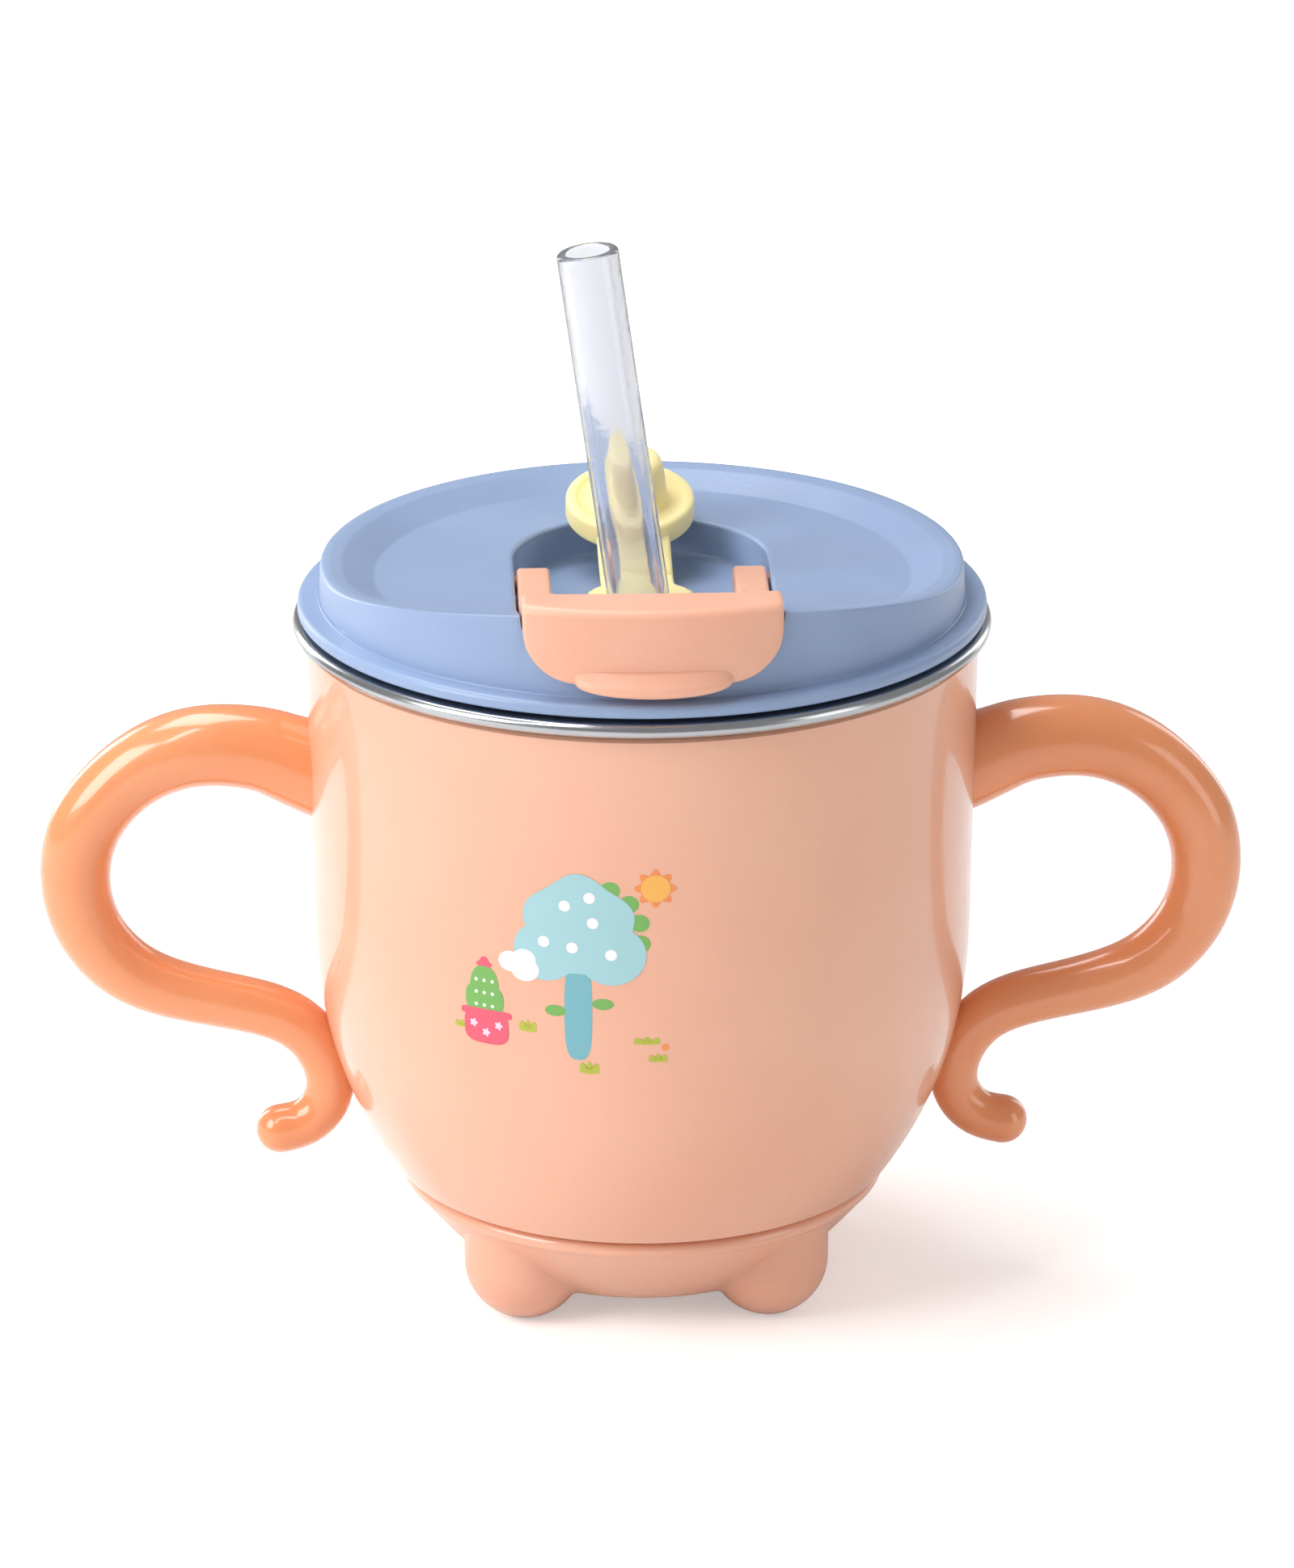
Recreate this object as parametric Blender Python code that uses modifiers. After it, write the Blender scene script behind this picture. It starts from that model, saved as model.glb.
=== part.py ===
"""Toddler's straw cup: a steel-lined plastic mug with two handles and a lid with a straw.

The cup stands on the plane z = 0 with its axis on z. The drinking side faces -Y.
Blender units are metres. Each size in the first blocks can be set by itself, and the sizes in the
last block follow from them.
"""

import math

import bmesh
import bpy
from mathutils import Matrix, Vector

MM = 0.001
STEPS = 48
CLEARANCE = 0.3 * MM

# Body: a turned plastic shell with a steel liner inside it.
RIM_TOP = 87.5 * MM
RIM_OVERHANG = 1.55 * MM
RIM_BEAD = 0.9 * MM
SHELL_WALL = 2.2 * MM
WAIST_SHARE = 0.5943
SHELL_WAIST_RADIUS = 41.0 * MM
SHELL_TOP_FLARE = 0.45 * MM
SHELL_DROP = 9.9 * MM
SHELL_DROP_POWER = 2.6
SEAM_HEIGHT = 15.8 * MM
SEAM_GROOVE = 0.5 * MM
LINER_WALL = 0.6 * MM
LINER_LIFT = 2.2 * MM
LINER_ROUND = 8.0 * MM
AIR_GAP = 1.5 * MM

# Base: a cone-shaped cover with four round feet.
BASE_WALL = 2.0 * MM
BASE_UNDERSIDE = 3.6 * MM
BASE_CONE_WIDTH = 10.1 * MM
BASE_SPIGOT = 3.2 * MM
FOOT_RADIUS = 7.2 * MM
FOOT_FLAT_RADIUS = 1.6 * MM
FOOT_INSET = 5.7 * MM

# Handles: each is a round bar in the plane y = 0, thick at the top and thin at its curled tail.
# A row of the route is the reach in mm past the waist's radius, the height as a share of the
# rim's height, and the bar's radius in mm.
HANDLE_ROUTE = (
    (-5.0, 0.7291, 6.0), (0.3, 0.7646, 5.7), (6.8, 0.7931, 5.3), (12.4, 0.7989, 5.1),
    (17.6, 0.7874, 4.9), (22.5, 0.7566, 4.6), (26.5, 0.7097, 4.5), (28.8, 0.6606, 4.5),
    (29.6, 0.6057, 4.4), (29.1, 0.5566, 4.3), (27.5, 0.5109, 4.2), (24.5, 0.4686, 4.1),
    (20.8, 0.4411, 3.9), (16.5, 0.4240, 3.7), (11.5, 0.4103, 3.5), (6.4, 0.3943, 3.4),
    (2.3, 0.3703, 3.2), (-0.2, 0.3337, 3.0), (-1.3, 0.2903, 2.8), (-0.7, 0.2491, 2.8),
    (1.6, 0.2194, 2.9), (4.4, 0.2103, 2.9), (6.3, 0.2091, 2.3), (7.3, 0.2091, 1.0),
)
LUG_SHARES = (0.7657, 0.32)
LUG_RADII = (2.8 * MM, 1.7 * MM)

# Lid: a press-in lid whose front rises to a drinking lip.
FLANGE_INSET = 0.6 * MM
FLANGE_THICKNESS = 1.6 * MM
FLANGE_GAP = 0.6 * MM
LID_WALL_INSET = 3.2 * MM
LID_WALL_DRAFT = 0.3 * MM
LID_WALL = 2.3 * MM
LID_RIM_HEIGHT = 4.5 * MM
LID_RIM_WIDTH = 1.6 * MM
PLATE_HEIGHT = 2.5 * MM
PLATE_SLOPE_WIDTH = 7.1 * MM
PLATE_THICKNESS = 2.0 * MM
LIP_START = -8.0 * MM
LIP_RISE = 5.9 * MM
LIP_POWER = 1.5
LIP_BLEND = 22.0 * MM
CEILING_SHARE = 0.7
SKIRT_DEPTH = 7.1 * MM
SKIRT_WALL = 2.0 * MM
SEAL_HEIGHT = 2.4 * MM
SEAL_DEPTH = 1.2 * MM

# The recess in the lid, which holds the straw's grommet, the plug and the clasp's arms.
RECESS_HALF_WIDTH = 15.7 * MM
RECESS_DEPTH = 5.0 * MM
RECESS_BACK = 22.2 * MM
RECESS_FRONT = -22.0 * MM
RECESS_WALL = 2.4 * MM
RECESS_FLOOR = 1.6 * MM
CHANNEL_DEPTH = 3.0 * MM
SIP_SLOT = (9.0 * MM, 2.0 * MM)
SIP_SLOT_INSET = 3.5 * MM

# Clasp: a frame hinged in the recess that closes over the drinking lip.
CLASP_RISE = 1.4 * MM
CLASP_SKIRT_LIFT = 2.9 * MM
CLASP_BAR_DEPTH = 5.5 * MM
CLASP_BAR_THICKNESS = 2.6 * MM
CLASP_SKIRT_GAP = 0.6 * MM
CLASP_SKIRT_WALL = 1.4 * MM
CLASP_ARM_WIDTH = 4.1 * MM
CLASP_ARM_RADIUS = 2.1 * MM
CLASP_CORNER = 6.5 * MM
HINGE_Y = 2.4 * MM
HINGE_DROP = 2.3 * MM
TRUNNION_RADIUS = 1.2 * MM
TRUNNION_REACH = 1.6 * MM
TAB_INSET = 6.2 * MM
TAB_REACH = 2.4 * MM
TAB_THICKNESS = 2.5 * MM
TAB_RISE = 1.2 * MM
SIP_PAD_BORDER = 2.5 * MM
SIP_PAD_DEPTH = 1.45 * MM
SIP_TONGUE = 2.0 * MM
PLUG_POCKET = 1.2 * MM

# Straw, its grommet and the tethered plug.
STRAW_RADIUS = 3.8 * MM
STRAW_WALL = 1.2 * MM
STRAW_STAND = 47.1 * MM
STRAW_FLOOR_GAP = 2.4 * MM
STRAW_LEAN = math.radians(8.0)
STRAW_Y = -4.5 * MM
GROMMET_FLANGE = 2.3 * MM
GROMMET_THICKNESS = 1.4 * MM
GROMMET_WALL = 1.6 * MM
GROMMET_LIP = 1.0 * MM
STRAP_HALF_WIDTH = 4.55 * MM
STRAP_THICKNESS = 1.2 * MM
STRAP_ROOT = 3.7 * MM
CAP_BORDER = 3.75 * MM
CAP_THICKNESS = 3.3 * MM
CAP_SHIFT = -0.9 * MM
CAP_SETBACK = 4.2 * MM
CAP_LIFT = 2.7 * MM
CAP_TILT = math.radians(15.0)
CAP_RIM = 1.5 * MM
CAP_DISH = 0.4 * MM
CAP_NUB_GRIP = 0.5 * MM
CAP_NUB_HEIGHT = 5.3 * MM

# Sizes that follow from the ones above.
SHELL_WAIST = WAIST_SHARE * RIM_TOP
RIM_RADIUS = SHELL_WAIST_RADIUS + SHELL_TOP_FLARE + RIM_OVERHANG
LINER_FLOOR = SEAM_HEIGHT + LINER_LIFT
LINER_CORNER = LINER_FLOOR + LINER_ROUND
BASE_FLAT_RADIUS = SHELL_WAIST_RADIUS - SHELL_DROP - BASE_CONE_WIDTH
FOOT_OFFSET = BASE_FLAT_RADIUS - FOOT_INSET
LUG_HEIGHTS = tuple(share * RIM_TOP for share in LUG_SHARES)
FLANGE_RADIUS = RIM_RADIUS - FLANGE_INSET
LID_WALL_FOOT = RIM_RADIUS - LID_WALL_INSET
LID_WALL_HEAD = LID_WALL_FOOT - LID_WALL_DRAFT
PLATE_RADIUS = LID_WALL_HEAD - PLATE_SLOPE_WIDTH
SIP_SLOT_Y = SIP_SLOT_INSET - LID_WALL_HEAD
FLANGE_BOTTOM = RIM_TOP + FLANGE_GAP
FLANGE_TOP = FLANGE_BOTTOM + FLANGE_THICKNESS
PLATE_TOP = FLANGE_TOP + PLATE_HEIGHT
LID_RIM_TOP = FLANGE_TOP + LID_RIM_HEIGHT
RECESS_BOTTOM = PLATE_TOP - RECESS_DEPTH
SHELL_TOP = RIM_TOP - 2 * RIM_BEAD - CLEARANCE - 0.2 * MM
SKIRT_BOTTOM = FLANGE_BOTTOM - SKIRT_DEPTH
LINER_TOP_RADIUS = SHELL_WAIST_RADIUS + SHELL_TOP_FLARE - SHELL_WALL - CLEARANCE
SKIRT_RADIUS = LINER_TOP_RADIUS - LINER_WALL - 3 * CLEARANCE
GROMMET_TOP = RECESS_BOTTOM + CLEARANCE + GROMMET_THICKNESS
SEAL_BOTTOM = FLANGE_BOTTOM - 1.3 * MM - SEAL_HEIGHT
ARM_OUTER = RECESS_HALF_WIDTH - CLEARANCE
ARM_INNER = ARM_OUTER - CLASP_ARM_WIDTH
CLASP_TOP = LID_RIM_TOP + LIP_RISE + CLASP_RISE
CLASP_BOTTOM = FLANGE_TOP + CLASP_SKIRT_LIFT
CLASP_BAR_BACK = CLASP_BAR_DEPTH - LID_WALL_HEAD
HINGE_Z = PLATE_TOP - HINGE_DROP
TAB_HALF_WIDTH = ARM_OUTER - TAB_INSET
STRAW_BORE = STRAW_RADIUS - STRAW_WALL
STRAW_TOP = RIM_TOP + STRAW_STAND
STRAW_BOTTOM = LINER_FLOOR + LINER_WALL + STRAW_FLOOR_GAP
GROMMET_SLEEVE = STRAW_RADIUS + CLEARANCE + GROMMET_WALL
GROMMET_RADIUS = GROMMET_SLEEVE + GROMMET_FLANGE
FOLD_Y = STRAW_Y + GROMMET_RADIUS + STRAP_ROOT
CAP_NUB_RADIUS = STRAW_RADIUS + CAP_NUB_GRIP
CAP_RADIUS = CAP_NUB_RADIUS + CAP_BORDER
CAP_CENTRE = (CAP_SHIFT, RECESS_BACK - CAP_SETBACK, PLATE_TOP + CAP_LIFT)
FAR = 60.0 * MM


def shell_radius(z):
    """Outer radius of the shell: a slight taper above the waist, a round belly below it."""
    if z >= SHELL_WAIST:
        return SHELL_WAIST_RADIUS + SHELL_TOP_FLARE * (z - SHELL_WAIST) / (SHELL_TOP - SHELL_WAIST)
    fall = (SHELL_WAIST - z) / (SHELL_WAIST - SEAM_HEIGHT)
    return SHELL_WAIST_RADIUS - SHELL_DROP * fall**SHELL_DROP_POWER


def smooth(t):
    """The usual 0 to 1 ease with level ends."""
    t = min(max(t, 0.0), 1.0)
    return t * t * (3 - 2 * t)


def lip_rise(y):
    """How far the lid's edge has risen at this y, towards the drinking lip in front."""
    return LIP_RISE * (max(LIP_START - y, 0.0) / (LID_WALL_HEAD + LIP_START)) ** LIP_POWER


def plate_level(y):
    """Height of the lid's top plate, which climbs to meet the lip's edge."""
    step = LID_RIM_TOP - PLATE_TOP
    return PLATE_TOP + lip_rise(y) + step * smooth((LIP_START - y) / LIP_BLEND)


def channel_level(y):
    """Height of the channel that the clasp closes into, in front of the recess."""
    return plate_level(y) - CHANNEL_DEPTH


def collection(name, hidden=False):
    made = bpy.data.collections.new(name)
    made.hide_render = hidden
    bpy.context.scene.collection.children.link(made)
    return made


def clear_scene():
    for item in list(bpy.data.objects):
        bpy.data.objects.remove(item, do_unlink=True)


clear_scene()
PARTS = collection("sippy_cup")
CUTTERS = collection("cutters", hidden=True)


def material(name, colour, roughness, metallic=0.0, alpha=1.0):
    made = bpy.data.materials.new(name)
    made.use_nodes = True
    shader = made.node_tree.nodes["Principled BSDF"]
    shader.inputs["Base Color"].default_value = (*colour, 1.0)
    shader.inputs["Roughness"].default_value = roughness
    shader.inputs["Metallic"].default_value = metallic
    shader.inputs["Alpha"].default_value = alpha
    made.diffuse_color = (*colour, alpha)
    return made


def place(name, data, look=None):
    """Links an object: a piece when it has a look, otherwise a cutter."""
    made = bpy.data.objects.new(name, data)
    if look:
        data.materials.clear()
        data.materials.append(look)
        PARTS.objects.link(made)
    else:
        made.hide_render = True
        made.display_type = "WIRE"
        CUTTERS.objects.link(made)
    return made


def turned(name, profile, look=None, closed=False, steps=STEPS):
    """Screws a profile of (radius, height) round Z. It runs down the outer side, top to bottom."""
    mesh = bpy.data.meshes.new(name)
    ends = [(i, i + 1) for i in range(len(profile) - 1)]
    if closed:
        ends.append((len(profile) - 1, 0))
    mesh.from_pydata([(r, 0.0, z) for r, z in profile], ends, [])
    made = place(name, mesh, look)
    screw = made.modifiers.new("turn", "SCREW")
    screw.steps = screw.render_steps = steps
    screw.use_merge_vertices = True
    screw.merge_threshold = 0.00001
    screw.use_smooth_shade = False
    return made


def outline(name, points, depth, turn=None, look=None):
    """A flat closed outline, extruded by depth each way from its own plane."""
    curve = bpy.data.curves.new(name, "CURVE")
    curve.dimensions = "2D"
    curve.fill_mode = "BOTH"
    curve.extrude = depth
    spline = curve.splines.new("POLY")
    spline.points.add(len(points) - 1)
    for point, (u, v) in zip(spline.points, points):
        point.co = (u, v, 0.0, 1.0)
    spline.use_cyclic_u = True
    made = place(name, curve, look)
    if turn:
        made.matrix_world = turn
    return as_mesh(made, look)


def as_mesh(curve_object, look=None):
    """Turns a curve into a mesh object with its caps welded on."""
    bpy.context.view_layer.update()
    graph = bpy.context.evaluated_depsgraph_get()
    mesh = bpy.data.meshes.new_from_object(curve_object.evaluated_get(graph))
    soup = bmesh.new()
    soup.from_mesh(mesh)
    bmesh.ops.remove_doubles(soup, verts=soup.verts, dist=0.000001)
    bmesh.ops.recalc_face_normals(soup, faces=soup.faces)
    soup.to_mesh(mesh)
    soup.free()
    name, world = curve_object.name, curve_object.matrix_world.copy()
    bpy.data.objects.remove(curve_object, do_unlink=True)
    made = place(name, mesh, look)
    made.matrix_world = world
    return made


def boolean(target, operation, other):
    step = target.modifiers.new(f"{operation.lower()} {other.name}", "BOOLEAN")
    step.operation = operation
    step.solver = "EXACT"
    step.object = other
    return step


def arc(centre, radius, start, end, count):
    """Points on an arc, in degrees, ends included."""
    angles = [math.radians(start + (end - start) * i / count) for i in range(count + 1)]
    return [(centre[0] + radius * math.cos(a), centre[1] + radius * math.sin(a)) for a in angles]


def rod(name, radius, start, end, look=None, steps=24):
    """A round bar between two points, as a cone primitive of equal ends."""
    start, end = Vector(start), Vector(end)
    mesh = bpy.data.meshes.new(name)
    soup = bmesh.new()
    bmesh.ops.create_cone(
        soup, cap_ends=True, segments=steps, radius1=radius, radius2=radius, depth=(end - start).length
    )
    soup.to_mesh(mesh)
    soup.free()
    made = place(name, mesh, look)
    turn = (end - start).to_track_quat("Z", "Y").to_matrix().to_4x4()
    made.matrix_world = Matrix.Translation((start + end) / 2) @ turn
    return made


def box(name, low, high, look=None):
    mesh = bpy.data.meshes.new(name)
    soup = bmesh.new()
    bmesh.ops.create_cube(soup, size=1.0)
    for vertex in soup.verts:
        vertex.co = [lo + (hi - lo) * (c + 0.5) for lo, hi, c in zip(low, high, vertex.co)]
    soup.to_mesh(mesh)
    soup.free()
    return place(name, mesh, look)


# A side outline is drawn as (y, z) and extruded along X.
SIDE_VIEW = Matrix(((0, 0, 1, 0), (1, 0, 0, 0), (0, 1, 0, 0), (0, 0, 0, 1)))
# A front outline is drawn as (x, z) and extruded along Y.
FRONT_VIEW = Matrix(((1, 0, 0, 0), (0, 0, -1, 0), (0, 1, 0, 0), (0, 0, 0, 1)))


def evenly(low, high, count):
    return [low + (high - low) * i / count for i in range(count + 1)]


def outer_shell(look):
    heights = [SHELL_TOP, *evenly(SHELL_WAIST, SEAM_HEIGHT, 11)]
    outside = [(shell_radius(z), z) for z in heights]
    inside = [(shell_radius(z) - SHELL_WALL, z) for z in reversed(heights)]
    made = turned("outer_shell", outside + inside, look, closed=True)
    for side in (-1, 1):
        for height, radius in zip(LUG_HEIGHTS, LUG_RADII):
            hole = rod(f"lug_hole_{side}_{height:.3f}", radius + CLEARANCE,
                       (side * 30 * MM, 0, height), (side * FAR, 0, height))
            boolean(made, "DIFFERENCE", hole)
    return made


def steel_liner(look):
    bead = (RIM_RADIUS - RIM_BEAD, RIM_TOP - RIM_BEAD)
    top, wall = LINER_TOP_RADIUS, LINER_WALL
    turn = 1.2 * MM
    roll = arc(bead, RIM_BEAD, 90, -150, 12)
    under = [(top + 0.5 * MM, RIM_TOP - wall), (top, RIM_TOP - wall - 0.5 * MM)]
    lower = [(shell_radius(SHELL_WAIST) - SHELL_WALL - CLEARANCE, SHELL_WAIST)]
    for z in evenly(SHELL_WAIST - 8 * MM, LINER_CORNER, 5):
        lower.append((shell_radius(z) - SHELL_WALL - AIR_GAP, z))
    corner = shell_radius(LINER_CORNER) - SHELL_WALL - AIR_GAP
    depth = LINER_CORNER - LINER_FLOOR
    for angle in (18, 36, 54, 72, 90):
        a = math.radians(angle)
        lower.append((corner * (0.55 + 0.45 * math.cos(a)), LINER_CORNER - depth * math.sin(a)))
    outside = roll + under + lower + [(0.0, LINER_FLOOR)]
    inner_top = arc((top - wall + turn, RIM_TOP - turn), turn, 180, 90, 4)
    inside = [(r - wall, z + 0.1 * MM) for r, z in lower[:-5]]
    for angle in (18, 36, 54, 72, 90):
        a = math.radians(angle)
        inside.append(((corner - wall) * (0.55 + 0.45 * math.cos(a)),
                       LINER_CORNER - (depth - wall) * math.sin(a)))
    inside = [(0.0, LINER_FLOOR + wall)] + inside[::-1]
    return turned("steel_liner", outside + inside + inner_top, look, closed=True)


def foot_cutter():
    """One foot, mirrored to four: a round post with a domed end and a small flat."""
    dome = math.sqrt(FOOT_RADIUS**2 - FOOT_FLAT_RADIUS**2)
    low = -math.degrees(math.acos(FOOT_FLAT_RADIUS / FOOT_RADIUS))
    profile = [(0.0, SEAM_HEIGHT - 1.5 * MM), (FOOT_RADIUS, SEAM_HEIGHT - 1.5 * MM)]
    profile += arc((0.0, dome), FOOT_RADIUS, 0, low, 7) + [(0.0, 0.0)]
    foot = turned("feet", profile, steps=24)
    foot.location = (FOOT_OFFSET, FOOT_OFFSET, 0.0)
    mirror = foot.modifiers.new("four", "MIRROR")
    mirror.use_axis = (True, True, False)
    mirror.merge_threshold = 0.00001
    mirror.mirror_object = AXIS
    return foot


def base_cover(look):
    seam = shell_radius(SEAM_HEIGHT)
    top = SEAM_HEIGHT - SEAM_GROOVE
    spigot = seam - SHELL_WALL - CLEARANCE
    head = top + BASE_SPIGOT
    fillet = 2.4 * MM
    outside = [(0.0, head), (spigot, head), (spigot, top), (seam - 0.9 * MM, top)]
    outside += [(seam - 0.4 * MM, top - 0.2 * MM), (seam - 0.4 * MM, top - 0.6 * MM)]
    outside += [(BASE_FLAT_RADIUS + 1.4 * MM, BASE_UNDERSIDE + fillet * 0.75)]
    outside += [(BASE_FLAT_RADIUS + 0.5 * MM, BASE_UNDERSIDE + fillet * 0.3)]
    outside += [(BASE_FLAT_RADIUS - 0.7 * MM, BASE_UNDERSIDE), (0.0, BASE_UNDERSIDE)]
    made = turned("base_cover", outside, look)
    cavity = [(0.0, head + MM), (spigot - BASE_WALL, head + MM), (spigot - BASE_WALL, top - 1.2 * MM)]
    cavity += [(BASE_FLAT_RADIUS - 0.7 * MM, BASE_UNDERSIDE + BASE_WALL), (0.0, BASE_UNDERSIDE + BASE_WALL)]
    boolean(made, "UNION", foot_cutter())
    boolean(made, "DIFFERENCE", turned("base_cavity", cavity))
    return made


def body_envelope():
    """The solid that a handle's ends stop short of."""
    heights = [RIM_TOP, *evenly(SHELL_WAIST, SEAM_HEIGHT - 3 * MM, 12)]
    profile = [(0.0, RIM_TOP)] + [(shell_radius(z) + CLEARANCE, z) for z in heights]
    profile.append((0.0, heights[-1]))
    return turned("body_envelope", profile)


def handle(name, side, envelope, look):
    curve = bpy.data.curves.new(name, "CURVE")
    curve.dimensions = "3D"
    curve.bevel_depth = MM
    curve.bevel_resolution = 4
    curve.use_fill_caps = True
    curve.resolution_u = 2
    spline = curve.splines.new("BEZIER")
    spline.bezier_points.add(len(HANDLE_ROUTE) - 1)
    for point, (reach, share, radius) in zip(spline.bezier_points, HANDLE_ROUTE):
        point.co = (side * (SHELL_WAIST_RADIUS + reach * MM), 0.0, share * RIM_TOP)
        point.radius = radius
        point.handle_left_type = point.handle_right_type = "AUTO"
    made = as_mesh(place(name, curve, look), look)
    boolean(made, "DIFFERENCE", envelope)
    for height, radius in zip(LUG_HEIGHTS, LUG_RADII):
        face = shell_radius(height)
        lug = rod(f"{name}_lug_{height:.3f}", radius,
                  (side * (face - SHELL_WALL + CLEARANCE), 0, height), (side * (face + 2 * MM), 0, height))
        boolean(made, "UNION", lug)
    return made


def lid_blank(look):
    """The turned lid, with its top lifted towards the lip."""
    rim, head = LID_RIM_TOP, LID_WALL_HEAD
    top = [(r, PLATE_TOP) for r in evenly(0.0, PLATE_RADIUS, 7)]
    slope = [(PLATE_RADIUS + 3 * MM, PLATE_TOP + 0.8 * MM), (head - LID_RIM_WIDTH, rim - 0.2 * MM)]
    crest = [(head - 0.5 * LID_RIM_WIDTH, rim), (head - 0.2 * MM, rim - 0.3 * MM)]
    wall = [(head, rim - 0.9 * MM), (LID_WALL_FOOT, FLANGE_TOP)]
    edge = 0.4 * MM
    flange = [(FLANGE_RADIUS - edge, FLANGE_TOP), (FLANGE_RADIUS, FLANGE_TOP - edge)]
    flange += [(FLANGE_RADIUS, FLANGE_BOTTOM + edge), (FLANGE_RADIUS - edge, FLANGE_BOTTOM)]
    groove = SKIRT_RADIUS - SEAL_DEPTH
    skirt = [(SKIRT_RADIUS, FLANGE_BOTTOM), (SKIRT_RADIUS, SEAL_BOTTOM + SEAL_HEIGHT)]
    skirt += [(groove, SEAL_BOTTOM + SEAL_HEIGHT), (groove, SEAL_BOTTOM), (SKIRT_RADIUS, SEAL_BOTTOM)]
    skirt += [(SKIRT_RADIUS, SKIRT_BOTTOM + 0.5 * MM), (SKIRT_RADIUS - 0.5 * MM, SKIRT_BOTTOM)]
    inner = SKIRT_RADIUS - SKIRT_WALL - SEAL_DEPTH
    ceiling = PLATE_TOP - PLATE_THICKNESS
    inside = [(inner, SKIRT_BOTTOM), (inner, FLANGE_BOTTOM)]
    inside += [(LID_WALL_HEAD - LID_WALL, FLANGE_TOP - 0.3 * MM)]
    inside += [(r, ceiling) for r in evenly(LID_WALL_HEAD - LID_WALL - 0.4 * MM, 0.0, 6)]
    profile = top + slope + crest + wall + flange + skirt + inside
    mesh = bpy.data.meshes.new("lid_body")
    soup = bmesh.new()
    points = [soup.verts.new((r, 0.0, z)) for r, z in profile]
    edges = [soup.edges.new(pair) for pair in zip(points, points[1:])]
    bmesh.ops.spin(soup, geom=points + edges, cent=(0, 0, 0), axis=(0, 0, 1),
                   angle=2 * math.pi, steps=STEPS, use_merge=True)
    bmesh.ops.remove_doubles(soup, verts=soup.verts, dist=0.000001)
    for vertex in soup.verts:
        lift_lid_point(vertex.co, ceiling)
    bmesh.ops.recalc_face_normals(soup, faces=soup.faces)
    soup.to_mesh(mesh)
    soup.free()
    return place("lid_body", mesh, look)


def lift_lid_point(point, ceiling):
    """Raises one point of the turned lid to the lip's height."""
    radius = math.hypot(point.x, point.y)
    rise = lip_rise(point.y)
    lift = plate_level(point.y) - PLATE_TOP
    if point.z >= PLATE_TOP - 0.1 * MM:
        share = smooth((point.z - PLATE_TOP) / (LID_RIM_TOP - PLATE_TOP))
        point.z += lift * (1 - share) + rise * share
    elif abs(point.z - ceiling) < 0.1 * MM and radius < LID_WALL_HEAD - LID_WALL:
        point.z += CEILING_SHARE * lift


def lid_body(look):
    made = lid_blank(look)
    width, wall = RECESS_HALF_WIDTH, RECESS_WALL
    centre = RECESS_BACK - width
    tub = arc((0.0, centre), width + wall, 0, 180, 20)
    tub += [(-width - wall, RECESS_FRONT - wall), (width + wall, RECESS_FRONT - wall)]
    hollow = arc((0.0, centre), width, 0, 180, 20) + [(-width, RECESS_FRONT), (width, RECESS_FRONT)]
    underside = RECESS_BOTTOM - RECESS_FLOOR
    tub_top = PLATE_TOP - 0.4 * MM
    mid = (underside + tub_top) / 2
    tub_solid = outline("recess_tub", tub, (tub_top - underside) / 2, Matrix.Translation((0, 0, mid)))
    boolean(made, "UNION", tub_solid)
    hollow_depth = 15 * MM
    hollow_cut = outline("recess_hollow", hollow, hollow_depth,
                         Matrix.Translation((0, 0, RECESS_BOTTOM + hollow_depth)))
    boolean(made, "DIFFERENCE", hollow_cut)
    ys = evenly(RECESS_FRONT + MM, -LID_WALL_FOOT - 3 * MM, 12)
    channel = [(y, channel_level(y)) for y in ys]
    channel += [(ys[-1], CLASP_TOP + 5 * MM), (ys[0], CLASP_TOP + 5 * MM)]
    boolean(made, "DIFFERENCE", outline("clasp_channel", channel, width, SIDE_VIEW))
    reach = ARM_OUTER + TRUNNION_REACH + CLEARANCE
    sockets = rod("trunnion_sockets", TRUNNION_RADIUS + CLEARANCE,
                  (-reach, HINGE_Y, HINGE_Z), (reach, HINGE_Y, HINGE_Z))
    boolean(made, "DIFFERENCE", sockets)
    port = rod("straw_port", GROMMET_SLEEVE + CLEARANCE,
               (0, STRAW_Y, underside - 2 * MM), (0, STRAW_Y, RECESS_BOTTOM + 2 * MM), steps=32)
    boolean(made, "DIFFERENCE", port)
    slot = box("sip_slot_cut", (-SIP_SLOT[0] / 2, SIP_SLOT_Y - SIP_SLOT[1] / 2, FLANGE_TOP - 1.5 * MM),
               (SIP_SLOT[0] / 2, SIP_SLOT_Y + SIP_SLOT[1] / 2, CLASP_TOP + 5 * MM))
    boolean(made, "DIFFERENCE", slot)
    return made


def lid_seal_ring(look):
    gap = CLEARANCE
    inner = SKIRT_RADIUS - SEAL_DEPTH + gap
    outer = LINER_TOP_RADIUS - LINER_WALL - gap
    low, high = SEAL_BOTTOM + gap, SEAL_BOTTOM + SEAL_HEIGHT - gap
    mid, soft = (low + high) / 2, 0.4 * MM
    profile = [(inner, high), (outer - soft, high), (outer, mid), (outer - soft, low), (inner, low)]
    return turned("lid_seal_ring", profile, look, closed=True)


LEAN = Vector((-math.sin(STRAW_LEAN), 0.0, math.cos(STRAW_LEAN)))
PORT_CENTRE = Vector((0.0, STRAW_Y, RECESS_BOTTOM - RECESS_FLOOR / 2))


def along_straw(height):
    """The point of the straw's axis at this height."""
    return PORT_CENTRE + LEAN * ((height - PORT_CENTRE.z) / LEAN.z)


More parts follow.
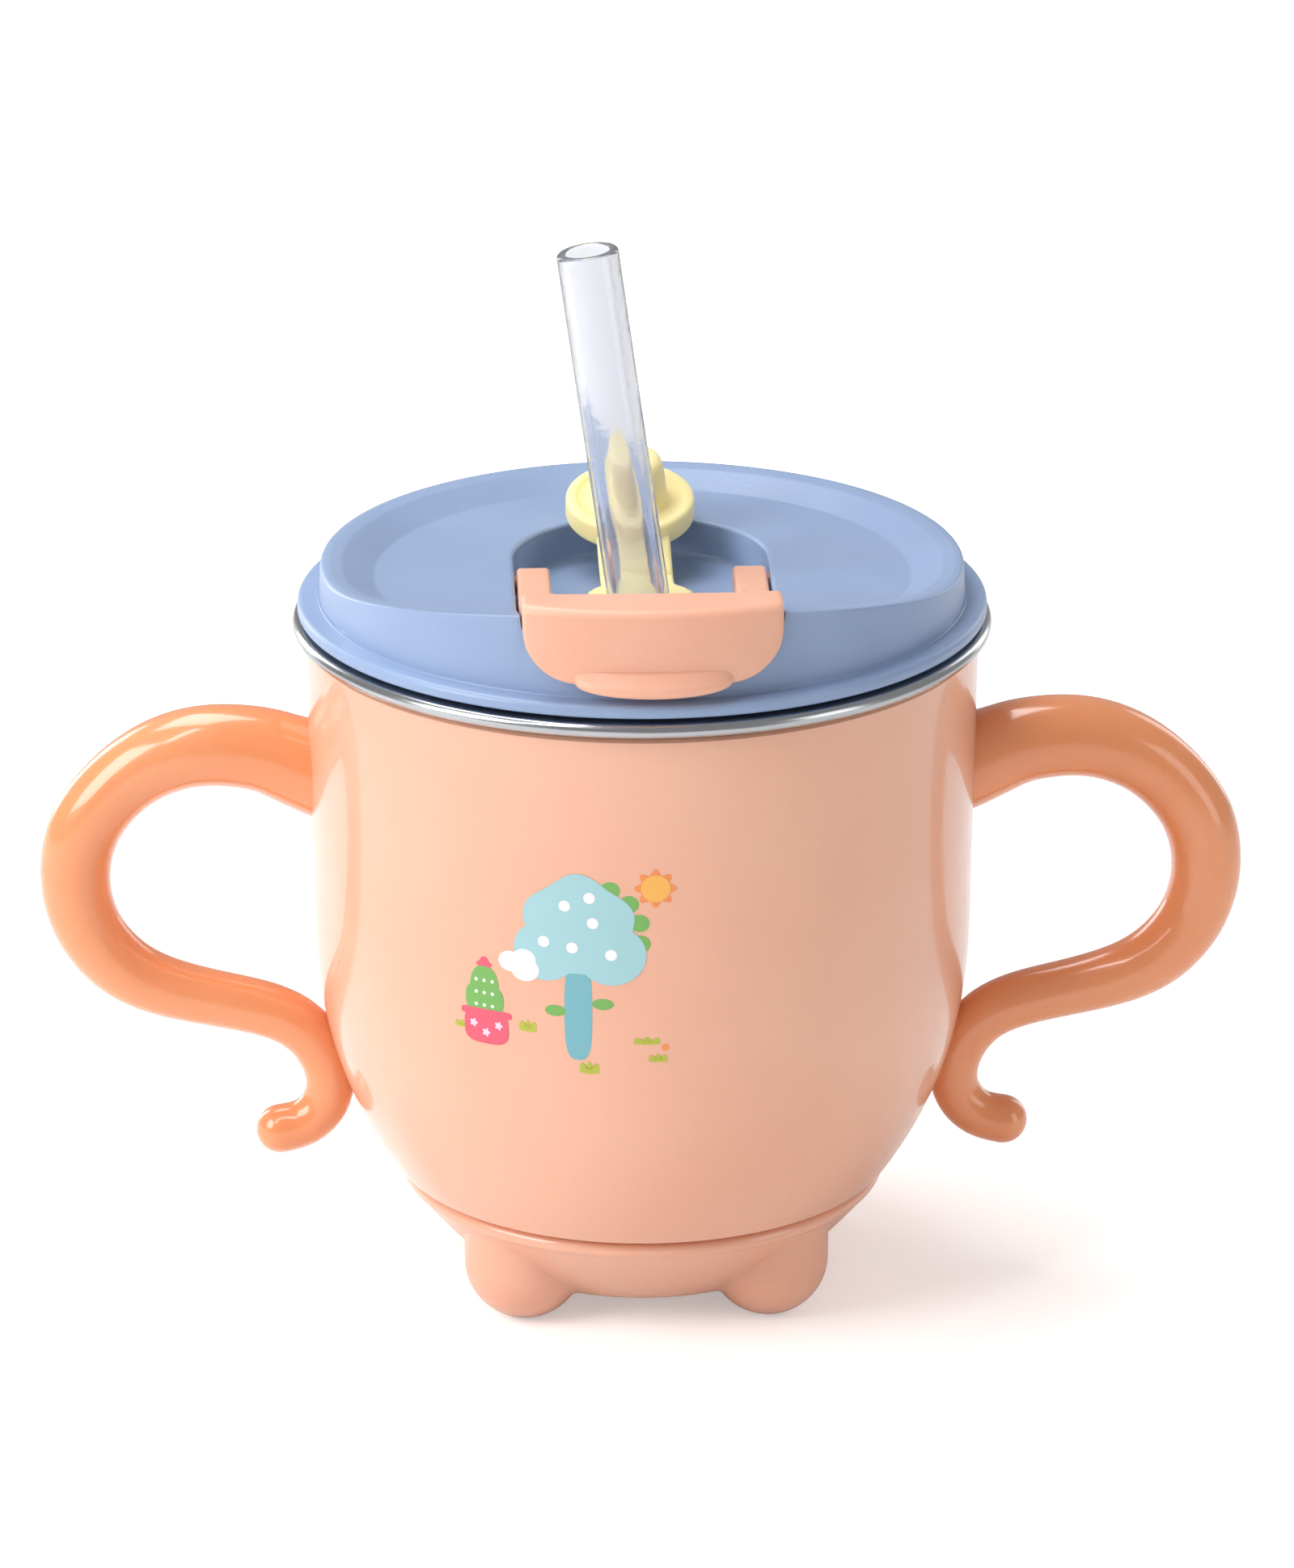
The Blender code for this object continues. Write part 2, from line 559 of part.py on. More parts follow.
def straw_grommet(look):
    """A flat silicone disc with a sleeve through the recess floor and the root of the strap."""
    low = RECESS_BOTTOM + CLEARANCE
    underside = RECESS_BOTTOM - RECESS_FLOOR - CLEARANCE
    sleeve, lip = GROMMET_SLEEVE, GROMMET_SLEEVE + GROMMET_LIP
    profile = [(0.0, GROMMET_TOP), (GROMMET_RADIUS - 0.4 * MM, GROMMET_TOP)]
    profile += [(GROMMET_RADIUS, GROMMET_TOP - 0.4 * MM), (GROMMET_RADIUS, low), (sleeve, low)]
    profile += [(sleeve, underside), (lip, underside), (lip - 0.2 * MM, underside - MM)]
    profile += [(sleeve, underside - 1.4 * MM), (0.0, underside - 1.4 * MM)]
    made = turned("straw_grommet", profile, look)
    made.location = (0.0, STRAW_Y, 0.0)
    end = FOLD_Y - CLEARANCE / 2
    root = box("strap_root", (-STRAP_HALF_WIDTH, STRAW_Y + GROMMET_RADIUS - 2.5 * MM, low),
               (STRAP_HALF_WIDTH, end, low + STRAP_THICKNESS))
    boolean(made, "UNION", root)
    bore = rod("straw_bore_cut", STRAW_RADIUS + CLEARANCE,
               along_straw(STRAW_BOTTOM), along_straw(STRAW_TOP), steps=32)
    boolean(made, "DIFFERENCE", bore)
    return made


def drinking_straw(look):
    length = (STRAW_TOP - STRAW_BOTTOM) / LEAN.z
    soft = 0.5 * MM
    r, bore = STRAW_RADIUS, STRAW_BORE
    profile = [(bore, length - soft), (bore + soft, length), (r - soft, length), (r, length - soft)]
    profile += [(r, soft), (r - soft, 0.0), (bore + soft, 0.0), (bore, soft)]
    made = turned("drinking_straw", profile, look, closed=True, steps=24)
    made.location = along_straw(STRAW_BOTTOM)
    made.rotation_euler = (0.0, -STRAW_LEAN, 0.0)
    return made


def clasp_side():
    """Side outline of the clasp: hinge end, underside, front skirt, top bar and ramp."""
    hinge = (HINGE_Y, HINGE_Z)
    points = arc(hinge, CLASP_ARM_RADIUS, 90, -90, 10)
    low = HINGE_Z - CLASP_ARM_RADIUS
    points += [(RECESS_FRONT + 5 * MM, low + 0.6 * MM)]
    gap = 0.5 * MM
    fronts = evenly(RECESS_FRONT + MM, -LID_WALL_HEAD, 5)
    points += [(y, channel_level(y) + gap) for y in fronts[:-1]]
    inner = -math.sqrt((LID_WALL_FOOT + CLASP_SKIRT_GAP) ** 2 - ARM_OUTER**2)
    points += [(inner, channel_level(inner) + gap), (inner, CLASP_BOTTOM)]
    face = -LID_WALL_FOOT - CLASP_SKIRT_GAP - CLASP_SKIRT_WALL - 0.5 * MM
    soft = 0.9 * MM
    points += [(face, CLASP_BOTTOM), (face, CLASP_TOP - soft), (face + 1.4 * soft, CLASP_TOP)]
    points += [(CLASP_BAR_BACK, CLASP_TOP)]
    start, end = CLASP_BAR_BACK, LIP_START + 2 * MM
    flat = HINGE_Z + CLASP_ARM_RADIUS
    for t in (0.2, 0.4, 0.6, 0.8, 1.0):
        points.append((start + (end - start) * t, flat + (CLASP_TOP - flat) * (1 - t) ** 1.6))
    return points


def clasp_frame(look):
    made = outline("clasp_frame", clasp_side(), ARM_OUTER, SIDE_VIEW, look)
    outer = LID_WALL_FOOT + CLASP_SKIRT_GAP + CLASP_SKIRT_WALL
    inner = LID_WALL_FOOT + CLASP_SKIRT_GAP
    face = turned("clasp_face", [(0, FAR * 2), (outer, FAR * 2), (outer, FAR), (0, FAR)], steps=120)
    boolean(made, "INTERSECT", face)
    chord = inner * math.sin(math.acos(ARM_OUTER / inner)) - 0.4 * MM
    spread = math.degrees(math.acos(chord / inner))
    segment = arc((0.0, 0.0), inner, -90 - spread, -90 + spread, 24)
    top = channel_level(-LID_WALL_HEAD) + 0.2 * MM
    cut = outline("clasp_inside", segment, 10 * MM, Matrix.Translation((0, 0, top - 10 * MM)))
    boolean(made, "DIFFERENCE", cut)
    window = box("clasp_window", (-ARM_INNER, CLASP_BAR_BACK, RECESS_BOTTOM - MM),
                 (ARM_INNER, FAR, CLASP_TOP + MM))
    boolean(made, "DIFFERENCE", window)
    ceiling = CLASP_TOP - CLASP_BAR_THICKNESS
    inside = box("clasp_under_bar", (-ARM_INNER, -LID_WALL_HEAD - CLASP_SKIRT_GAP, RECESS_BOTTOM - MM),
                 (ARM_INNER, CLASP_BAR_BACK + MM, ceiling))
    boolean(made, "DIFFERENCE", inside)
    half = SIP_SLOT[0] / 2 + SIP_PAD_BORDER + CLEARANCE
    pocket = box("plug_pocket", (-half, SIP_SLOT_Y - SIP_PAD_DEPTH - CLEARANCE, ceiling - MM),
                 (half, SIP_SLOT_Y + SIP_PAD_DEPTH + CLEARANCE, ceiling + PLUG_POCKET))
    boolean(made, "DIFFERENCE", pocket)
    add_clasp_corners(made)
    tab = arc((0.0, 0.0), outer + TAB_REACH, *tab_angles(outer + TAB_REACH), 16)
    tab += arc((0.0, 0.0), inner, *reversed(tab_angles(inner)), 16)
    mid = CLASP_BOTTOM + TAB_RISE - TAB_THICKNESS / 2
    boolean(made, "UNION", outline("thumb_tab", tab, TAB_THICKNESS / 2, Matrix.Translation((0, 0, mid))))
    for side in (-1, 1):
        pin = rod(f"trunnion_{side}", TRUNNION_RADIUS, (side * (ARM_OUTER - 2 * MM), HINGE_Y, HINGE_Z),
                  (side * (ARM_OUTER + TRUNNION_REACH), HINGE_Y, HINGE_Z))
        boolean(made, "UNION", pin)
    return made


def tab_angles(radius):
    spread = math.degrees(math.asin(TAB_HALF_WIDTH / radius))
    return -90 - spread, -90 + spread


def add_clasp_corners(clasp):
    """Rounds the skirt's two lower corners."""
    for side in (-1, 1):
        centre = (side * (ARM_OUTER - CLASP_CORNER), CLASP_BOTTOM + CLASP_CORNER)
        sweep = (-90, 0) if side > 0 else (-90, -180)
        round_edge = arc(centre, CLASP_CORNER, *sweep, 10)
        beyond = [(side * (ARM_OUTER + MM), CLASP_BOTTOM + CLASP_CORNER),
                  (side * (ARM_OUTER + MM), CLASP_BOTTOM - MM), (centre[0], CLASP_BOTTOM - MM)]
        turn = Matrix.Translation((0, 22 * MM - FAR, 0)) @ FRONT_VIEW
        corner = outline(f"skirt_corner_{side}", round_edge + beyond, 21.6 * MM, turn)
        boolean(clasp, "DIFFERENCE", corner)


def sip_plug(look):
    """A silicone pad held in the clasp's pocket, with a tongue that enters the sip slot."""
    ceiling = CLASP_TOP - CLASP_BAR_THICKNESS
    low = channel_level(-LID_WALL_HEAD) + CLEARANCE
    pad = SIP_SLOT[0] / 2 + SIP_PAD_BORDER
    made = box("sip_plug", (-pad, SIP_SLOT_Y - SIP_PAD_DEPTH, low),
               (pad, SIP_SLOT_Y + SIP_PAD_DEPTH, ceiling + PLUG_POCKET - CLEARANCE), look)
    half = (SIP_SLOT[0] / 2 - 0.5 * MM, SIP_SLOT[1] / 2 - 0.5 * MM)
    tongue = box("plug_tongue", (-half[0], SIP_SLOT_Y - half[1], low - SIP_TONGUE),
                 (half[0], SIP_SLOT_Y + half[1], low + 0.5 * MM))
    boolean(made, "UNION", tongue)
    return made


def plug_cap(look):
    """The tethered plug: a dished cap with a solid nub, and the strap up to it."""
    r, half = CAP_RADIUS, CAP_THICKNESS / 2
    soft = 0.5 * MM
    tip = half - CAP_DISH + CAP_NUB_HEIGHT
    profile = [(0.0, tip), (CAP_NUB_RADIUS - MM, tip), (CAP_NUB_RADIUS - 0.5 * MM, tip - soft)]
    profile += [(CAP_NUB_RADIUS, half - CAP_DISH), (r - CAP_RIM, half - CAP_DISH)]
    profile += [(r - CAP_RIM + 0.2 * MM, half), (r - soft, half), (r, half - soft)]
    profile += [(r, soft - half), (r - soft, -half), (0.0, -half)]
    made = turned("plug_cap", profile, look, steps=36)
    made.location = CAP_CENTRE
    made.rotation_euler = (CAP_TILT, 0.0, 0.0)
    low = RECESS_BOTTOM + CLEARANCE
    front = (CAP_CENTRE[1] - (r - MM) * math.cos(CAP_TILT), CAP_CENTRE[2] - (r - MM) * math.sin(CAP_TILT))
    start = FOLD_Y + CLEARANCE / 2
    strap = [(start, low), (start, low + STRAP_THICKNESS), (front[0] - 1.6 * MM, front[1] + 0.4 * MM),
             (front[0], front[1] + 0.8 * MM), (front[0] + MM, front[1] - 0.6 * MM),
             (front[0], front[1] - 0.8 * MM), (start + MM, low)]
    boolean(made, "UNION", outline("strap", strap, STRAP_HALF_WIDTH, SIDE_VIEW))
    return made


AXIS = bpy.data.objects.new("cup_axis", None)
PARTS.objects.link(AXIS)

PEACH = (0.90, 0.56, 0.40)
ORANGE = (0.83, 0.42, 0.26)
BLUE = (0.38, 0.48, 0.74)
YELLOW = (0.93, 0.78, 0.38)
body_plastic = material("body_plastic", PEACH, 0.25)
handle_plastic = material("handle_plastic", ORANGE, 0.18)
clasp_plastic = material("clasp_plastic", PEACH, 0.4)
lid_plastic = material("lid_plastic", BLUE, 0.45)
steel = material("steel", (0.78, 0.78, 0.80), 0.25, metallic=1.0)
yellow_silicone = material("yellow_silicone", YELLOW, 0.5)
clear_silicone = material("clear_silicone", (0.85, 0.87, 0.92), 0.2, alpha=0.5)

outer_shell(body_plastic)
base_cover(body_plastic)
steel_liner(steel)
ENVELOPE = body_envelope()
handle("left_handle", -1, ENVELOPE, handle_plastic)
handle("right_handle", 1, ENVELOPE, handle_plastic)
lid_body(lid_plastic)
lid_seal_ring(clear_silicone)
straw_grommet(yellow_silicone)
clasp_frame(clasp_plastic)
sip_plug(clear_silicone)
drinking_straw(clear_silicone)
plug_cap(yellow_silicone)
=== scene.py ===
"""Looks of a toddler's straw cup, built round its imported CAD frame.

The cup stands on z = 0 with its axis on z and its drinking lip towards -Y. Lengths in the
classes below are in millimetres; meshes are made in metres.
"""

from __future__ import annotations

import logging
import math
from dataclasses import dataclass, field
from enum import Enum

import bpy
import numpy as np
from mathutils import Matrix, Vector


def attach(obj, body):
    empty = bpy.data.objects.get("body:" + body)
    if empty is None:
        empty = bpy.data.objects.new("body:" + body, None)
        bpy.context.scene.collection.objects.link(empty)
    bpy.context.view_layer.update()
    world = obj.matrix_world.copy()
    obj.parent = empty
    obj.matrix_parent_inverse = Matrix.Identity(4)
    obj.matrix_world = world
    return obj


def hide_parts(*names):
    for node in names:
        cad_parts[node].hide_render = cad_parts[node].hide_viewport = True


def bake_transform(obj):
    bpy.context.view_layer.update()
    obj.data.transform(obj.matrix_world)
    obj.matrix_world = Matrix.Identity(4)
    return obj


LOG = logging.getLogger("straw_cup")
MM = 0.001
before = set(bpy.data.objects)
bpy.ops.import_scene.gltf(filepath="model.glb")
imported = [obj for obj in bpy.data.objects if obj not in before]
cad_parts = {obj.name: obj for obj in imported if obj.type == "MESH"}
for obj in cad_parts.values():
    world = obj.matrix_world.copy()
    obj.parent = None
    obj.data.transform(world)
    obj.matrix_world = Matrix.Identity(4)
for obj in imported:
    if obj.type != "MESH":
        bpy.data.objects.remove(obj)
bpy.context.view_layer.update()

Corners = list[tuple[float, float, float]]
Shape = tuple[np.ndarray, list]
Outline = tuple[np.ndarray, np.ndarray]

# The arc at a corner takes up at most this share of each side.
SIDE_SHARE = 0.49
# Below this, a length or a difference counts as nothing.
TINY = 1e-6
# Radius of the ring that closes a turned solid on its axis.
POLE = 0.01


# ---------------------------------------------------------------- shape helpers


def smooth(t: np.ndarray | float) -> np.ndarray:
    """Ease from 0 to 1 with level ends: t squared times (3 - 2 t), t held in 0 to 1."""
    t = np.clip(t, 0.0, 1.0)
    return t * t * (3.0 - 2.0 * t)


def fillet_path(corners: Corners, closed: bool = False, steps: int = 6) -> np.ndarray:
    """Rounds the corners of a flat outline.

    Each corner is replaced by an arc that touches both of its sides. The arc starts the radius
    times the tangent of half the turn before the corner.

    Args:
        corners: (u, v, radius) of each corner, in order.
        closed: whether the last corner joins the first.
        steps: segments in each arc.

    Returns:
        The outline's points, as an (n, 2) array.
    """
    points = np.array([c[:2] for c in corners], float)
    count, path = len(corners), []
    for i, (u, v, radius) in enumerate(corners):
        here = np.array((u, v))
        if radius <= 0 or (not closed and i in (0, count - 1)):
            path.append(here[None])
            continue
        back, ahead = points[i - 1] - here, points[(i + 1) % count] - here
        room = SIDE_SHARE * min(np.hypot(*back), np.hypot(*ahead))
        back, ahead = back / np.hypot(*back), ahead / np.hypot(*ahead)
        half = math.acos(np.clip(back @ ahead, -1, 1)) / 2
        reach = min(radius / max(math.tan(half), TINY), room)
        radius = reach * math.tan(half)
        centre = here + (back + ahead) / np.hypot(*(back + ahead)) * radius / math.sin(half)
        start, end = here + back * reach - centre, here + ahead * reach - centre
        turn = math.atan2(start[0] * end[1] - start[1] * end[0], start @ end)
        angle = math.atan2(start[1], start[0]) + np.linspace(0, turn, steps + 1)
        path.append(centre + radius * np.stack([np.cos(angle), np.sin(angle)], 1))
    return np.concatenate(path)


def loft(rings: np.ndarray, closed: bool = False) -> Shape:
    """Joins a stack of closed rings into one closed surface that faces outwards.

    Unless the stack is closed, a fan round its mean closes the first and the last ring.

    Args:
        rings: (m, n, 3) points; ring i joins ring i + 1, and point n - 1 joins point 0.
        closed: whether the last ring joins the first, as on a tube bent into a ring.

    Returns:
        The points and the faces.
    """
    m, n, _ = rings.shape
    points = rings.reshape(-1, 3)
    rows = np.arange(m if closed else m - 1)[:, None] * n
    cols = np.arange(n)[None]
    a, b = rows + cols, rows + (cols + 1) % n
    c, d = (b + n) % (m * n), (a + n) % (m * n)
    faces = np.stack([a, b, c, d], -1).reshape(-1, 4).tolist()
    ends = () if closed else ((0, True), (m - 1, False))
    for row, flip in ends:
        ring = np.arange(n) + row * n
        fan = np.stack([ring, np.roll(ring, -1), np.full(n, len(points))], -1)
        faces += (fan[:, ::-1] if flip else fan).tolist()
        points = np.vstack([points, rings[row].mean(0)])
    if volume(points, faces) < 0:
        faces = [face[::-1] for face in faces]
    return points, faces


def volume(points: np.ndarray, faces: list) -> float:
    """Signed volume: a sixth of the sum of each triangle's triple product.

    Args:
        points: the surface's points.
        faces: its faces, each a list of point numbers.

    Returns:
        The volume, which is negative where the faces point inwards.
    """
    fans = [(f[0], f[i], f[i + 1]) for f in faces for i in range(1, len(f) - 1)]
    p = points[np.array(fans)]
    return float(np.einsum("ij,ij->i", p[:, 0], np.cross(p[:, 1], p[:, 2])).sum() / 6)


def turned(profile: np.ndarray, segments: int = 192, centre: tuple[float, float] = (0.0, 0.0)) -> np.ndarray:
    """Rings of a turned shape: (r cos a, r sin a, z) for each profile point (r, z).

    Args:
        profile: (n, 2) points, each a radius and a height.
        segments: points in each ring.
        centre: where the axis stands.

    Returns:
        An (n, segments, 3) array.
    """
    a = np.linspace(0, 2 * np.pi, segments, endpoint=False)
    r, z = profile[:, :1], np.repeat(profile[:, 1:], segments, 1)
    return np.stack([centre[0] + r * np.cos(a), centre[1] + r * np.sin(a), z], -1)


def tilt(points: np.ndarray, axis: str, angle: float, about: tuple[float, float, float]) -> np.ndarray:
    """Turns points about a line along one axis, by the right-hand rule.

    Args:
        points: any array whose last side is (x, y, z).
        axis: "X" or "Y".
        angle: the turn in radians.
        about: a point that stays where it is.

    Returns:
        The turned points.
    """
    c, s = math.cos(angle), math.sin(angle)
    if axis == "X":
        turn = np.array([[1, 0, 0], [0, c, -s], [0, s, c]])
    else:
        turn = np.array([[c, 0, s], [0, 1, 0], [-s, 0, c]])
    return (points - about) @ turn.T + about


def spline(knots: np.ndarray, per_span: int = 8) -> np.ndarray:
    """A smooth curve through the knots: cubic Hermite spans whose slopes join each knot's neighbours.

    Args:
        knots: (n, k) points.
        per_span: points in each span.

    Returns:
        The curve's points, with k columns.
    """
    slope = np.gradient(knots, axis=0)
    t = np.linspace(0, 1, per_span, endpoint=False)[None, :, None]
    p, q, u, v = knots[:-1, None], knots[1:, None], slope[:-1, None], slope[1:, None]
    body = (2 * t**3 - 3 * t**2 + 1) * p + (t**3 - 2 * t**2 + t) * u
    body = body + (3 * t**2 - 2 * t**3) * q + (t**3 - t**2) * v
    return np.vstack([body.reshape(-1, knots.shape[1]), knots[-1:]])


# ---------------------------------------------------------------- materials


def linear(code: str) -> tuple[float, float, float, float]:
    """Turns an sRGB hex colour into linear values, by the standard's straight start and power curve.

    Args:
        code: the colour, such as "#93a8cb".

    Returns:
        Red, green, blue and an alpha of 1.
    """
    channels = np.array([int(code[i : i + 2], 16) for i in (1, 3, 5)]) / 255
    line = np.where(channels <= 0.04045, channels / 12.92, ((channels + 0.055) / 1.055) ** 2.4)
    return (*line.tolist(), 1.0)


def add(tree: bpy.types.NodeTree, kind: str, links: dict | None = None, **settings: object) -> bpy.types.Node:
    """Adds a node to a material.

    Args:
        tree: the material's node tree.
        kind: the node's type without its prefix.
        links: input name or index to an output socket that feeds it, or to a value.
        settings: attributes set on the node.

    Returns:
        The new node.
    """
    made = tree.nodes.new("ShaderNode" + kind)
    for name, value in settings.items():
        setattr(made, name, value)
    for name, value in (links or {}).items():
        if isinstance(value, bpy.types.NodeSocket):
            tree.links.new(value, made.inputs[name])
        else:
            made.inputs[name].default_value = value
    return made


class Grain(Enum):
    """How a surface was made, which sets the direction of its fine relief."""

    EVEN = "moulded, with the same relief every way"
    TURNED = "brushed or drawn round the cup's axis"


@dataclass(frozen=True)
class Finish:
    """A finish: its colours, its gloss and the size of its relief in millimetres."""

    name: str
    colour: str
    shade: str
    roughness: float
    ior: float = 1.5
    metallic: float = 0.0
    coat: float = 0.0
    coat_roughness: float = 0.05
    soft: float = 0.0
    clear: float = 0.0
    grain_mm: float = 0.6
    relief: float = 0.04
    mottle_mm: float = 14.0
    gloss_change: float = 0.05
    grain: Grain = Grain.EVEN

    # Detail of the slow and of the fine noise, and the spans of the slow one that change the colour
    # and the gloss.
    SLOW_DETAIL = 3.0
    FINE_DETAIL = 2.0
    TINT_SPAN = (0.35, 0.65)
    GLOSS_SPAN = (0.3, 0.7)
    # How far red, green and blue light travel inside a soft plastic, in shares of 2 mm.
    SCATTER = (1.0, 0.6, 0.4)
    SCATTER_MM = 2.0
    # Metres that a turned grain runs for each radian round the axis.
    SLOW_TURN = 0.001

    def build(self) -> bpy.types.Material:
        """Builds the node material.

        A slow noise, mottle_mm across, mixes colour with shade and moves the roughness, as
        uneven cooling and handling do. A fine noise, grain_mm across, gives the mould's relief.

        Returns:
            The material.
        """
        made = bpy.data.materials.new(self.name)
        made.use_nodes = True
        tree = made.node_tree
        shader = tree.nodes["Principled BSDF"]
        place = add(tree, "TexCoord").outputs["Object"]
        fine_at = self.round_axis(tree, place) if self.grain is Grain.TURNED else place
        slow = add(tree, "TexNoise", {"Vector": place, "Scale": 1 / (self.mottle_mm * MM),
                                      "Detail": self.SLOW_DETAIL}).outputs["Fac"]
        fine = add(tree, "TexNoise", {"Vector": fine_at, "Scale": 1 / (self.grain_mm * MM),
                                      "Detail": self.FINE_DETAIL}).outputs["Fac"]
        start, end = self.TINT_SPAN
        ease = add(tree, "MapRange", {0: slow, 1: start, 2: end, 3: 0.0, 4: 1.0}).outputs[0]
        tint = add(tree, "Mix", {0: ease, 6: linear(self.colour), 7: linear(self.shade)}, data_type="RGBA")
        low, high = self.roughness - self.gloss_change / 2, self.roughness + self.gloss_change / 2
        start, end = self.GLOSS_SPAN
        gloss = add(tree, "MapRange", {0: slow, 1: start, 2: end, 3: low, 4: high})
        bump = add(tree, "Bump", {"Strength": self.relief, "Distance": self.grain_mm * MM, "Height": fine})
        tree.links.new(tint.outputs[2], shader.inputs["Base Color"])
        tree.links.new(gloss.outputs[0], shader.inputs["Roughness"])
        tree.links.new(bump.outputs[0], shader.inputs["Normal"])
        even = {
            "Metallic": self.metallic,
            "IOR": self.ior,
            "Coat Weight": self.coat,
            "Coat Roughness": self.coat_roughness,
            "Subsurface Weight": self.soft,
            "Subsurface Radius": self.SCATTER,
            "Subsurface Scale": self.SCATTER_MM * MM,
            "Transmission Weight": self.clear,
        }
        for socket, value in even.items():
            shader.inputs[socket].default_value = value
        return made

    def round_axis(self, tree: bpy.types.NodeTree, place: bpy.types.NodeSocket) -> bpy.types.NodeSocket:
        """Coordinates that run slowly round the axis: (a millimetre for each radian, radius, height).

        Args:
            tree: the material's node tree.
            place: the object's own coordinates.

        Returns:
            The socket that gives them.
        """
        part = add(tree, "SeparateXYZ", {0: place})
        angle = add(tree, "Math", {0: part.outputs[1], 1: part.outputs[0]}, operation="ARCTAN2")
        slow = add(tree, "Math", {0: angle.outputs[0], 1: self.SLOW_TURN}, operation="MULTIPLY")
        flat = add(tree, "CombineXYZ", {0: part.outputs[0], 1: part.outputs[1]})
        radius = add(tree, "VectorMath", {0: flat.outputs[0]}, operation="LENGTH")
        made = add(tree, "CombineXYZ", {0: slow.outputs[0], 1: radius.outputs["Value"], 2: part.outputs[2]})
        return made.outputs[0]


# Injection-moulded ABS with a polished mould: a hard clear gloss and a faint orange peel.
PEACH_ABS = Finish("Gloss ABS, peach", "#eeb497", "#ecae91", 0.32, coat=0.8, soft=0.1,
                   grain_mm=2.6, relief=0.02, mottle_mm=30)
# The handles' thick bars hold more pigment, so they look more orange.
ORANGE_ABS = Finish("Gloss ABS, orange", "#ef9c6a", "#ec945f", 0.25, coat=0.8, coat_roughness=0.1, soft=0.15,
                    grain_mm=2.6, relief=0.015, mottle_mm=24)
# Polypropylene from a lightly sanded mould: the clasp bends at its arms, and shines softly.
PEACH_PP = Finish("Satin polypropylene, peach", "#f0b69b", "#eeb195", 0.4, ior=1.49, coat=0.15,
                  coat_roughness=0.25, soft=0.12, grain_mm=0.7, relief=0.06)
# The lid is the same resin in blue, with a finer satin.
BLUE_PP = Finish("Satin polypropylene, periwinkle", "#93a8cb", "#8ea3c6", 0.35, ior=1.49, coat=0.15,
                 coat_roughness=0.3, soft=0.05, grain_mm=0.6, relief=0.07)
# Food-grade silicone is matt and slightly clear, so light bleeds round its edges.
YELLOW_SILICONE = Finish("Silicone, yellow", "#fcedb4", "#fae7a4", 0.5, ior=1.41, soft=0.3,
                         grain_mm=0.5, relief=0.05)
CLEAR_SILICONE = Finish("Silicone, clear", "#f9fafe", "#f5f7fc", 0.1, ior=1.41, clear=0.9,
                        grain_mm=1.5, relief=0.03, gloss_change=0.04)
SEAL_SILICONE = Finish("Silicone, frosted", "#e9edf4", "#e2e7f0", 0.4, ior=1.41, clear=0.5, soft=0.2)
# 304 stainless steel, drawn and polished on a lathe: fine rings round the axis.
STEEL = Finish("Stainless steel, polished", "#bec0c3", "#b4b6b9", 0.2, metallic=1.0,
               grain_mm=0.25, relief=0.12, grain=Grain.TURNED)


@dataclass
class Workshop:
    """Makes materials once each and turns arrays into pieces."""

    made: dict[str, bpy.types.Material] = field(default_factory=dict)

    def dress(self, finish: Finish) -> bpy.types.Material:
        """The finish's material, built the first time it is asked for."""
        if finish.name not in self.made:
            self.made[finish.name] = finish.build()
        return self.made[finish.name]

    def piece(self, name: str, shape: Shape, finish: Finish, body: str, slot: str,
              stands_for: tuple[str, ...] = (), sharp: float = 40.0) -> bpy.types.Object:
        """Makes a piece that moves with a body.

        Args:
            name: the piece's name.
            shape: its points in millimetres and its faces.
            finish: what it is made of.
            body: the CAD body that it moves with, or nothing for a piece that is left unattached.
            slot: not used.
            stands_for: CAD nodes that it replaces.
            sharp: edges that turn more than this many degrees stay crisp.

        Returns:
            The new object.
        """
        points, faces = shape
        mesh = bpy.data.meshes.new(name)
        mesh.from_pydata((points * MM).tolist(), [], faces)
        mesh.polygons.foreach_set("use_smooth", np.ones(len(faces), bool))
        mesh.set_sharp_from_angle(angle=math.radians(sharp))
        mesh.materials.append(self.dress(finish))
        made = bpy.data.objects.new(name, mesh)
        bpy.context.scene.collection.objects.link(made)
        if body:
            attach(made, body)
        if stands_for:
            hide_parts(*stands_for)
        LOG.info("%s: %d points, %s", name, len(points), finish.name)
        return made

    def repaint(self, node: str, finish: Finish) -> None:
        """Gives a CAD node that stays in view its finish.

        Args:
            node: the node's name.
            finish: what it is made of.
        """
        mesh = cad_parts[node].data
        mesh.materials.clear()
        mesh.materials.append(self.dress(finish))


# ---------------------------------------------------------------- the cup's body


